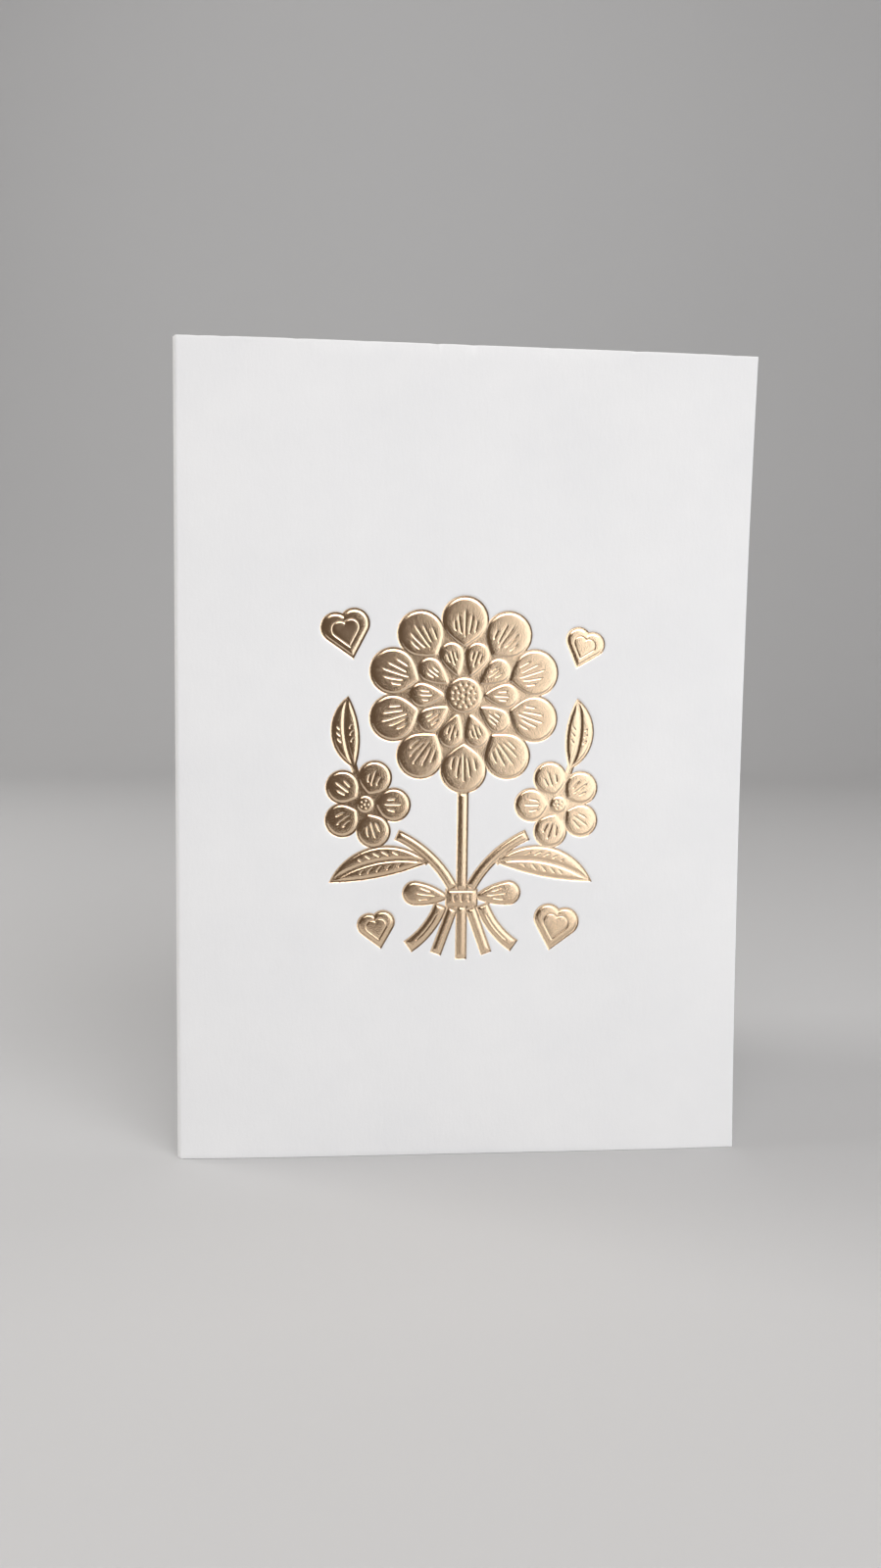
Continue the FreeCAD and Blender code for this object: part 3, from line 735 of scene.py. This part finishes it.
def drawn(outline, step):
    """An outline as a closed line of points, counter-clockwise, no farther apart than the step."""
    points = [outline[0]]
    for kind, *ends in outline[1:]:
        here = points[-1]
        if kind == "line":
            count = max(1, math.ceil(math.dist(here, ends[0]) / step))
            for i in range(1, count + 1):
                t = i / count
                points.append((here[0] + (ends[0][0] - here[0]) * t, here[1] + (ends[0][1] - here[1]) * t))
        else:
            (x, z), radius, first, sweep = arc(here, *ends)
            count = max(1, math.ceil(radius * abs(sweep) / step), math.ceil(abs(sweep) / ARC_TURN))
            for i in range(1, count):
                points.append(polar((x, z), first + sweep * i / count, radius))
            points.append(ends[-1])
    loop = np.array(points[:-1])
    return loop if signed_area(loop) > 0 else loop[::-1].copy()


def signed_area(loop):
    x, z = loop.T
    return 0.5 * float(np.sum(x * np.roll(z, -1) - np.roll(x, -1) * z))


def resampled(loop, step):
    """The loop with short sides merged, so that crossings leave no slivers."""
    kept = [loop[0]]
    for point in loop[1:]:
        if math.dist(point, kept[-1]) > SHORT_SIDE * step:
            kept.append(point)
    if len(kept) > 3 and math.dist(kept[0], kept[-1]) < SHORT_SIDE * step:
        kept.pop()
    return np.array(kept)


def union(loops):
    """The outline of overlapping loops together: outer loops counter-clockwise, openings clockwise."""
    verts, faces = [], []
    for loop in loops:
        faces.append(list(range(len(verts), len(verts) + len(loop))))
        verts += [Vector(p) for p in loop]
    points, _, triangles, _, _, sources = delaunay_2d_cdt(verts, [], faces, 0, TOUCH, True)
    used = set()
    for triangle, source in zip(triangles, sources):
        if source:
            used.update(zip(triangle, triangle[1:] + triangle[:1]))
    border = [(a, b) for a, b in used if (b, a) not in used]
    return [np.array([points[i] for i in line]) for line in chained(border)]


def chained(edges):
    """Closed loops of vertices from directed edges."""
    ahead = {}
    for a, b in edges:
        ahead.setdefault(a, []).append(b)
    loops = []
    while ahead:
        first = here = next(iter(ahead))
        loop = []
        while not loop or here != first:
            loop.append(here)
            following = ahead[here].pop()
            if not ahead[here]:
                del ahead[here]
            here = following
        loops.append(loop)
    return loops


def grown(field, growth, step):
    """The union of the field's shapes grown by a margin, without tiny openings."""
    loops = union([drawn(shape(-growth), step) for shape in field])
    kept = [resampled(loop, step) for loop in loops if abs(signed_area(loop)) > LEAST_OPENING]
    return [loop for loop in kept if len(loop) >= LEAST_CORNERS]


def hexagons(low, high, step):
    """Evenly spaced points over a rectangle."""
    points = []
    for i, z in enumerate(np.arange(low[1], high[1], step * ROW_GAP)):
        x = np.arange(low[0] + (i % 2) * step / 2, high[0], step)
        points.append(np.stack([x, np.full(len(x), z)], axis=1))
    return np.concatenate(points)


def tree_of(points):
    tree = KDTree(len(points))
    for i, (x, z) in enumerate(points):
        tree.insert((x, z, 0), i)
    tree.balance()
    return tree


class Drawing:
    """What a flat face is meshed from: points with depths, lines, and regions of a kind."""

    def __init__(self):
        self.points, self.depths, self.grooves = [], [], []
        self.edges, self.faces, self.kinds = [], [], []

    def add(self, points, depth, groove_depth=0.0):
        first = len(self.points)
        self.points += [tuple(p) for p in points]
        self.depths += list(np.broadcast_to(depth, len(points)))
        self.grooves += list(np.broadcast_to(groove_depth, len(points)))
        return list(range(first, len(self.points)))

    def loop(self, points, depth):
        ids = self.add(points, depth)
        self.edges += list(zip(ids, ids[1:] + ids[:1]))

    def region(self, points, depth, kind):
        ids = self.add(points, depth)
        self.faces.append(ids if signed_area(np.array(points)) > 0 else ids[::-1])
        self.kinds.append(kind)

    def stroke(self, contours):
        """A groove, on top of the pad's own depth, which isn't known yet."""
        for points, depth, closed in contours:
            ids = self.add(points, math.nan, depth)
            self.edges += list(zip(ids, ids[1:] + ids[:1] if closed else ids[1:]))

    def scatter(self, box, step, gap, depth=math.nan):
        """Free points over a box, clear of the points that are there."""
        tree = tree_of(self.points)
        points = hexagons(*box, step)
        self.add([p for p in points if tree.find((p[0], p[1], 0))[2] > gap], depth)

    def meshed(self):
        """Points, triangles, what was drawn first at each (or -1), and the kinds over each triangle."""
        verts = [Vector(p) for p in self.points]
        made = delaunay_2d_cdt(verts, self.edges, self.faces, 0, TOUCH, True)
        points, _, triangles, sources, _, regions = made
        firsts = np.array([source[0] if source else -1 for source in sources])
        return np.array(points), triangles, firsts, [[self.kinds[i] for i in over] for over in regions]

    def depths_at(self, firsts, missing):
        return np.where(firsts >= 0, np.array(self.depths)[firsts], missing)


def design():
    """Patches of the front: (pads, field, strokes) of the posy and of each heart."""
    return [posy()] + [single_heart(*values) for values in HEARTS]


def front_drawing(border, patches):
    """The flat front face, from its own border points in."""
    drawing = Drawing()
    drawing.loop(border, 0.0)
    for number, (pads, field, strokes) in enumerate(patches):
        for growth, depth in PAPER_SLOPE:
            for loop in grown(field, growth, PAPER_STEP):
                drawing.loop(loop, depth)
        for loop in grown(field, FOIL_MARGIN, RIM_STEP):
            drawing.region(loop, PAPER_AT_FOIL, ("hole" if signed_area(loop) < 0 else "foil", number))
        for growth, depth in FOIL_SLOPE:
            for loop in grown(field, growth, FOIL_STEP):
                drawing.loop(loop, depth)
        for pad in pads:
            for inset, depth in BEVEL:
                drawing.loop(drawn(pad(inset), FOIL_STEP), depth)
            drawing.region(drawn(pad(PLATEAU_INSET), FOIL_STEP), PLATEAU_EDGE, ("plateau", number))
        for item in strokes:
            drawing.stroke(item)
    for box, free in zip((DESIGN_BOX, FLAT_BOX), FRONT_FREE):
        drawing.scatter(box, *free)
    return drawing


def pressed(drawing):
    """Points, triangles, each triangle's patch (-1 on plain board), each point's depth and first source."""
    points, triangles, firsts, kinds = drawing.meshed()
    depth = drawing.depths_at(firsts, math.nan)
    groove_depth = np.where(firsts >= 0, np.array(drawing.grooves)[firsts], 0.0)
    patch = np.full(len(triangles), -1)
    on_plateau = np.zeros(len(points), bool)
    in_foil = np.zeros(len(points), bool)
    for t, (triangle, over) in enumerate(zip(triangles, kinds)):
        foil = [number for kind, number in over if kind == "foil"]
        if foil and not any(kind == "hole" for kind, _ in over):
            patch[t] = foil[0]
            in_foil[list(triangle)] = True
            if any(kind == "plateau" for kind, _ in over):
                on_plateau[list(triangle)] = True
    tree = tree_of([p for p, d in zip(drawing.points, drawing.depths) if d == PLATEAU_EDGE])
    for i in np.flatnonzero(np.isnan(depth)):
        if on_plateau[i]:
            reach = tree.find((points[i][0], points[i][1], 0))[2]
            depth[i] = PLATEAU_EDGE - PILLOW * (1 - math.exp(-reach / PILLOW_REACH)) + groove_depth[i]
        else:
            depth[i] = VALLEY if in_foil[i] else 0.0
    return points, np.array(triangles), patch, depth, firsts


def mapped(ids, cells):
    """Faces, with each cell's points exchanged for vertex ids."""
    return [tuple(ids[v] for v in cell) for cell in cells]


def show(name, data):
    thing = bpy.data.objects.new(name, data)
    bpy.context.scene.collection.objects.link(thing)
    return thing


def show_mesh(name, verts, faces, material):
    """A smooth-shaded mesh."""
    data = bpy.data.meshes.new(name)
    data.from_pydata(verts, [], faces)
    data.update()
    data.polygons.foreach_set("use_smooth", [True] * len(data.polygons))
    data.materials.append(material)
    return show(name, data)


class Builder:
    """Vertices and faces of one closed mesh, in millimetres."""

    def __init__(self):
        self.verts, self.faces = [], []
        self.count = 0

    def add(self, points):
        points = np.asarray(points, float).reshape(-1, 3)
        self.verts.append(points)
        ids = np.arange(self.count, self.count + len(points))
        self.count += len(points)
        return ids

    def add_some(self, which, points):
        """Vertex ids of the chosen points, and -1 for the others."""
        ids = np.full(points.shape[:-1], -1)
        ids[which] = self.add(points[which])
        return ids

    def add_within(self, border_ids, firsts, wanted, points):
        """Vertex ids of a meshed face: its border, which came first and is there, and the others wanted."""
        on_border = (firsts >= 0) & (firsts < len(border_ids))
        ids = self.add_some(wanted & ~on_border, points)
        ids[on_border] = border_ids[firsts[on_border]]
        return ids

    def quads(self, rows, flip):
        """Faces over a grid of vertex ids."""
        found = np.stack([rows[:-1, :-1], rows[1:, :-1], rows[1:, 1:], rows[:-1, 1:]], axis=-1).reshape(-1, 4)
        found = found[(found >= 0).all(axis=1)]
        self.faces += [tuple(f) for f in (found[:, ::-1] if flip else found)]

    def band(self, first, second):
        """Faces between two closed loops of ids with equally many points."""
        self.faces += [(first[i - 1], first[i], second[i], second[i - 1]) for i in range(len(first))]

    def mesh(self, name, material, body="root"):
        verts = np.concatenate(self.verts) * MILLIMETRE
        faces = [tuple(int(v) for v in f) for f in self.faces]
        thing = show_mesh(name, verts.tolist(), faces, material)
        thing.data.set_sharp_from_angle(angle=SHARP_EDGE)
        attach(thing, body)
        return thing


def runs(start, stretches):
    """Positions from a start on, up to each (end, step)."""
    positions = [start]
    for end, step in stretches:
        count = max(1, math.ceil((end - positions[-1]) / step))
        positions += list(np.linspace(positions[-1], end, count + 1)[1:])
    return np.array(positions)


def grid_lines():
    """Places along the sheet and up it where the grid's lines run."""
    far, top = PATH.total - EDGE_ROUND, PANEL_HEIGHT - EDGE_ROUND
    ends = (SIDE_STRIP, *PATH.marks[1:7], PATH.marks[6] + FOLD_STRIP, far - SIDE_STRIP, far)
    s = runs(EDGE_ROUND, zip(ends, ALONG_STEPS))
    z = runs(EDGE_ROUND, zip((TOP_STRIP, PANEL_HEIGHT - TOP_STRIP, top), UP_STEPS))
    return s, z


def crease(s, height, half):
    away = np.abs(np.asarray(s) - PATH.spine)
    return np.where(away < half, height * np.cos(np.clip(away / half, 0, 1) * math.pi / 2) ** 2, 0.0)


def creased(s, depth):
    """Depth near the fold of what lies at a depth elsewhere: a channel outside and a bead inside."""
    share = depth / STOCK
    outside = crease(s, CHANNEL_DEPTH, CHANNEL_HALF) * (1 - share)
    return depth + outside + crease(s, BEAD_HEIGHT, BEAD_HALF) * share


def edge_dip(s):
    """Small bruises along the top cut edge."""
    return sum(depth * np.exp(-((s - at) / wide) ** 2) for at, depth, wide in NICKS)


def inside(loop, x, z):
    """Whether points lie in a loop."""
    low, high = loop.min(0), loop.max(0)
    near = (x >= low[0]) & (x <= high[0]) & (z >= low[1]) & (z <= high[1])
    x, z = x[near], z[near]
    hit = np.zeros(x.shape, bool)
    for (ax, az), (bx, bz) in zip(loop, np.roll(loop, -1, axis=0)):
        if az != bz:
            hit ^= ((az > z) != (bz > z)) & (x < (bx - ax) * (z - az) / (bz - az) + ax)
    found = np.zeros(near.shape, bool)
    found[near] = hit
    return found


def press_through(patches, x, z):
    """How far the pads show through at points of the inner face, from a blurred grid: 0 to 1."""
    (low_x, low_z), (high_x, high_z) = PRESS_BOX
    across, up = np.arange(low_x, high_x, PRESS_STEP), np.arange(low_z, high_z, PRESS_STEP)
    across, up = np.meshgrid(across, up, indexing="ij")
    mask = np.zeros(across.shape, bool)
    for pads, _, _ in patches:
        for pad in pads:
            mask |= inside(drawn(pad(0), PRESS_LINE), across, up)
    grid = mask.astype(float)
    for _ in range(PRESS_BLURS):
        for axis in (0, 1):
            grid = (np.roll(grid, 1, axis) + grid * 2 + np.roll(grid, -1, axis)) / 4
    at_x = np.clip((x - low_x) / PRESS_STEP, 0, grid.shape[0] - 2)
    at_z = np.clip((z - low_z) / PRESS_STEP, 0, grid.shape[1] - 2)
    i, j = at_x.astype(int), at_z.astype(int)
    u, v = at_x - i, at_z - j
    return (grid[i, j] * (1 - u) * (1 - v) + grid[i + 1, j] * u * (1 - v)
            + grid[i, j + 1] * (1 - u) * v + grid[i + 1, j + 1] * u * v)


def sheet_rim(grid):
    """The border of a whole grid, as one line round it."""
    return np.concatenate([grid[:-1, 0], grid[-1, :-1], grid[1:, -1][::-1], grid[0, 1:][::-1]])


def flat_rim(grid, first, last):
    """The border of a grid between two rows, the other way round."""
    parts = grid[last:first:-1, 0], grid[first, :-1], grid[first:last, -1], grid[last, 1:][::-1]
    return np.concatenate(parts)


def at_inset(at, length, inset, dip=0.0):
    """Places on the border, with those beside a cut edge moved to an inset from it."""
    low, high = at <= EDGE_ROUND + TOUCH, at >= length - EDGE_ROUND - TOUCH
    return np.where(low, inset, np.where(high, length - inset - dip, at))


def cut_edges(sheet, first, last, ring_s, ring_z):
    """The rounded edges, from the outer face's border round to the inner face's."""
    before = first
    for inset, depth in EDGE_PROFILE:
        at_s = at_inset(ring_s, PATH.total, inset)
        at_z = at_inset(ring_z, PANEL_HEIGHT, inset, edge_dip(at_s))
        new = sheet.add(place(at_s, at_z, creased(at_s, depth)))
        sheet.band(before, new)
        before = new
    sheet.band(before, last)


def sheet_and_foils():
    """Builders of the whole sheet and of each patch of foil."""
    s, z = grid_lines()
    first, last = (int(np.argmin(abs(s - mark))) for mark in PATH.marks[1:3])
    sheet = Builder()
    gs, gz = np.meshgrid(s, z, indexing="ij")
    gridded = np.ones(gs.shape, bool)
    gridded[first + 1:last, 1:-1] = False
    sides = []
    for depth in (0.0, STOCK):
        ids = sheet.add_some(gridded, place(gs, gz, creased(gs, depth)))
        for rows in (ids[:first + 1], ids[last:]):
            sheet.quads(rows, flip=depth == 0.0)
        sides.append(ids)
    outer, inner = sides
    cut_edges(sheet, *(sheet_rim(grid) for grid in (outer, inner, gs, gz)))
    # in the design's own coordinates, x runs against the distance along the sheet
    rim_s, rim_z, rim_outer, rim_inner = (flat_rim(grid, first, last) for grid in (gs, gz, outer, inner))
    border = np.stack([DESIGN_S - rim_s, rim_z - DESIGN_HEIGHT], axis=1)
    patches = design()
    foils = front_face(sheet, patches, pressed(front_drawing(border, patches)), rim_outer)
    inner_face(sheet, patches, border, rim_inner)
    return sheet, foils


def inner_face(sheet, patches, border, border_ids):
    """The flat behind the design, with the pads' faint relief."""
    back = Drawing()
    back.loop(border, 0.0)
    for box, free in zip((DESIGN_BOX, FLAT_BOX), INNER_FREE):
        back.scatter(box, *free, 0.0)
    flat, cells, firsts, _ = back.meshed()
    x, up = flat.T
    raised = STOCK + INNER_RELIEF * press_through(patches, x, up)
    points = place(DESIGN_S - x, up + DESIGN_HEIGHT, raised)
    ids = sheet.add_within(border_ids, firsts, np.ones(len(flat), bool), points)
    sheet.faces += mapped(ids, [cell[::-1] for cell in cells])


def directed(triangles):
    """The border of some triangles, as edges with the triangles on their left."""
    sides = {(int(a), int(b)) for t in triangles for a, b in ((t[0], t[1]), (t[1], t[2]), (t[2], t[0]))}
    return sorted((a, b) for a, b in sides if (b, a) not in sides)


def underside(points, loops, pads):
    """A plainer surface for the film's back and the board under it: points, triangles, depths and border."""
    drawing = Drawing()
    border = []
    for loop in loops:
        drawing.region(points[loop], UNDER_EDGE, "hole" if signed_area(points[loop]) < 0 else "foil")
        border += loop
    for pad in pads:
        for inset, depth in UNDER_LINES:
            drawing.loop(drawn(pad(inset), UNDER_STEP), depth)
    flat = np.array(drawing.points)
    drawing.scatter((flat.min(0), flat.max(0)), *UNDER_FREE)
    found, triangles, firsts, kinds = drawing.meshed()
    kept = [cell for cell, over in zip(triangles, kinds) if "foil" in over and "hole" not in over]
    on_pad = np.zeros(len(found), bool)
    for pad in pads:
        on_pad |= inside(drawn(pad(UNDER_PAD_INSET), UNDER_PAD_STEP), *found.T)
    depth = drawing.depths_at(firsts, UNDER_VALLEY)
    depth = np.where(np.isnan(depth), np.where(on_pad, UNDER_PLATEAU, UNDER_VALLEY), depth)
    known = {border[first]: j for j, first in enumerate(firsts) if 0 <= first < len(border)}
    return found, kept, depth, known


def front_face(sheet, patches, face, border_ids):
    """Adds the pressed front to the sheet, and returns a builder for each patch of foil."""
    points, triangles, patch, depth, firsts = face
    at_s, at_z = DESIGN_S - points[:, 0], points[:, 1] + DESIGN_HEIGHT
    in_foil, in_paper = np.zeros(len(points), bool), np.zeros(len(points), bool)
    in_foil[triangles[patch >= 0].ravel()] = True
    in_paper[triangles[patch < 0].ravel()] = True
    edge = in_foil & in_paper
    top = place(at_s, at_z, np.where(edge, FOIL_AT_EDGE, depth))
    bare = place(at_s, at_z, np.where(edge, PAPER_AT_FOIL, depth))
    upper = sheet.add_within(border_ids, firsts, in_paper, bare)
    sheet.faces += mapped(upper, triangles[patch < 0])
    foils = []
    for number, (pads, _, _) in enumerate(patches):
        mine = triangles[patch == number]
        sides = directed(mine)
        flat, cells, under, behind = underside(points, chained(sides), pads)
        foil = Builder()
        front = foil.add_some(np.unique(mine), top)
        foil.faces += mapped(front, mine)
        spare = sorted({v for cell in cells for v in cell})
        at = (DESIGN_S - flat[:, 0], flat[:, 1] + DESIGN_HEIGHT)
        back = foil.add_some(spare, place(*at, under))
        floor = sheet.add_some(spare, place(*at, under + FILM_CLEAR))
        foil.faces += mapped(back, [cell[::-1] for cell in cells])
        sheet.faces += mapped(floor, cells)
        for a, b in sides:
            foil.faces.append((front[b], front[a], back[behind[a]], back[behind[b]]))
            sheet.faces.append((upper[a], upper[b], floor[behind[b]], floor[behind[a]]))
        foils.append(foil)
    return foils


class Material:
    """Nodes of one material, placed by the object's own coordinates."""

    def __init__(self, name):
        self.made = bpy.data.materials.new(name)
        self.made.use_nodes = True
        self.tree = self.made.node_tree
        self.shader = self.tree.nodes["Principled BSDF"]
        self.where = self.node("ShaderNodeTexCoord").outputs["Object"]

    def node(self, kind, links=(), values=()):
        """A node, with (input, source) links and (input, value) settings."""
        made = self.tree.nodes.new(kind)
        for name, source in links:
            self.tree.links.new(source, made.inputs[name])
        for name, value in values:
            made.inputs[name].default_value = value
        return made

    def noise(self, scale, detail=3.0, roughness=0.5, where=None):
        values = (("Scale", scale), ("Detail", detail), ("Roughness", roughness))
        links = [("Vector", self.where if where is None else where)]
        return self.node("ShaderNodeTexNoise", links, values).outputs["Fac"]

    def tones(self, cloud, tones):
        """Base colour that wanders between two tones."""
        node = self.node("ShaderNodeValToRGB", [("Fac", cloud)])
        for i in (0, 1):
            node.color_ramp.elements[i].position = CLOUD_SPAN[i]
            node.color_ramp.elements[i].color = (*tones[i], 1)
        self.tree.links.new(node.outputs["Color"], self.shader.inputs["Base Color"])

    def roughness(self, cloud, span):
        """Roughness that wanders between two values."""
        values = zip(("From Min", "From Max", "To Min", "To Max"), CLOUD_SPAN + span)
        node = self.node("ShaderNodeMapRange", [("Value", cloud)], values)
        self.tree.links.new(node.outputs["Result"], self.shader.inputs["Roughness"])

    def bump(self, first, second, strength, height):
        """Fine relief from two patterns added."""
        both = self.node("ShaderNodeMath", [(0, first), (1, second)])
        both.operation = "ADD"
        links = [("Height", both.outputs["Value"])]
        node = self.node("ShaderNodeBump", links, (("Strength", strength), ("Distance", height)))
        self.tree.links.new(node.outputs["Normal"], self.shader.inputs["Normal"])


def white_board():
    """Uncoated white board: matt, with a fine fibre tooth and the faintest clouding."""
    board = Material("white_board")
    board.tones(board.noise(*BOARD_CLOUDS), BOARD_TONES)
    board.shader.inputs["Specular IOR Level"].default_value = BOARD_SPECULAR
    board.roughness(board.noise(*BOARD_MATT), BOARD_ROUGHNESS)
    upright = board.node("ShaderNodeMapping", [("Vector", board.where)], [("Scale", FIBRE_STRETCH)])
    fibre = board.noise(*BOARD_FIBRE, where=upright.outputs["Vector"])
    board.bump(board.noise(*BOARD_TOOTH), fibre, *BOARD_BUMP)
    return board.made


def gold_foil():
    """Satin champagne-gold foil that takes the board's fine tooth."""
    foil = Material("gold_foil")
    foil.shader.inputs["Metallic"].default_value = 1.0
    foil.tones(foil.noise(*FOIL_CLOUDS), FOIL_TONES)
    foil.roughness(foil.noise(*FOIL_SATIN), FOIL_ROUGHNESS)
    grain = foil.node("ShaderNodeTexVoronoi", [("Vector", foil.where)], [("Scale", FOIL_GRAIN)])
    foil.bump(grain.outputs["Distance"], foil.noise(*FOIL_TOOTH), *FOIL_BUMP)
    return foil.made


def build():
    """The sheet and the five patches of foil."""
    paper, gold = white_board(), gold_foil()
    sheet, foils = sheet_and_foils()
    thing = sheet.mesh("sheet_looks", paper)
    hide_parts("folded_sheet")
    nodes = ["foil_posy"] + [f"foil_heart_{i + 1}" for i in range(len(HEARTS))]
    for node, foil in zip(nodes, foils):
        thing = foil.mesh(node + "_looks", gold)
        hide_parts(node)


def cove_row(out, height):
    """One line round the left, back and right of the set, a distance outside the flat floor's edge."""
    row = [(-FLOOR_HALF_WIDTH - out, FLOOR_FRONT, height)]
    reach = COVE_CORNER + out
    for hand, first in ((-1, 180), (1, 90)):
        middle = (hand * (FLOOR_HALF_WIDTH - COVE_CORNER), FLOOR_BACK - COVE_CORNER)
        for i in range(COVE_TURNS + 1):
            row.append((*polar(middle, math.radians(first - 90 / COVE_TURNS * i), reach), height))
    row.append((FLOOR_HALF_WIDTH + out, FLOOR_FRONT, height))
    return row


def sweep():
    """Pale floor that curves up into walls behind and at both sides, and is open in front."""
    profile = [(inset, 0.0) for inset in FLOOR_INSETS]
    for i in range(COVE_STEPS + 1):
        turn = math.pi / 2 * i / COVE_STEPS
        profile.append((COVE_RADIUS * math.sin(turn), COVE_RADIUS * (1 - math.cos(turn))))
    profile += [(COVE_RADIUS, height) for height in WALL_HEIGHTS]
    rows = [cove_row(out, height) for out, height in profile]
    n = len(rows[0])
    faces = [tuple(range(n - 1, -1, -1))]
    for j in range(len(rows) - 1):
        faces += [(j * n + i, j * n + i + 1, (j + 1) * n + i + 1, (j + 1) * n + i) for i in range(n - 1)]
    pale = Material("floor")
    pale.tones(pale.noise(*FLOOR_CLOUDS), FLOOR_TONES)
    pale.shader.inputs["Roughness"].default_value = FLOOR_ROUGHNESS
    floor = show_mesh("floor", [point for row in rows for point in row], faces, pale.made)


def lamp(name, place_at, aim, width, height, power, colour):
    data = bpy.data.lights.new(name, "AREA")
    data.shape = "RECTANGLE"
    data.size, data.size_y, data.energy, data.color = width, height, power, colour
    thing = show(name, data)
    thing.location = place_at
    thing.rotation_euler = (Vector(aim) - Vector(place_at)).to_track_quat("-Z", "Y").to_euler()


def light():
    """The lamps, and a dim warm world."""
    for values in LAMPS:
        lamp(*values)
    world = bpy.context.scene.world or bpy.data.worlds.new("world")
    bpy.context.scene.world = world
    world.use_nodes = True
    background = world.node_tree.nodes["Background"]
    background.inputs["Color"].default_value = WORLD_COLOUR
    background.inputs["Strength"].default_value = WORLD_STRENGTH


def camera():
    """Where the photograph was taken from."""
    yaw, pitch, roll = (math.radians(turn) for turn in CAMERA_TURNS_DEG)
    data = bpy.data.cameras.new("camera")
    data.lens = SENSOR * FOCAL_PIXELS / PICTURE_HEIGHT
    data.sensor_width = SENSOR
    data.clip_start = CLIP_START
    thing = show("camera", data)
    level = Matrix.Translation(CAMERA_PLACE) @ Matrix.Rotation(-yaw, 4, "Z")
    aimed = level @ Matrix.Rotation(math.pi / 2 + pitch, 4, "X")
    thing.matrix_world = aimed @ Matrix.Rotation(roll, 4, "Z")
    bpy.context.scene.camera = thing


build()
sweep()
light()
camera()
bpy.context.scene.view_settings.view_transform = "Standard"
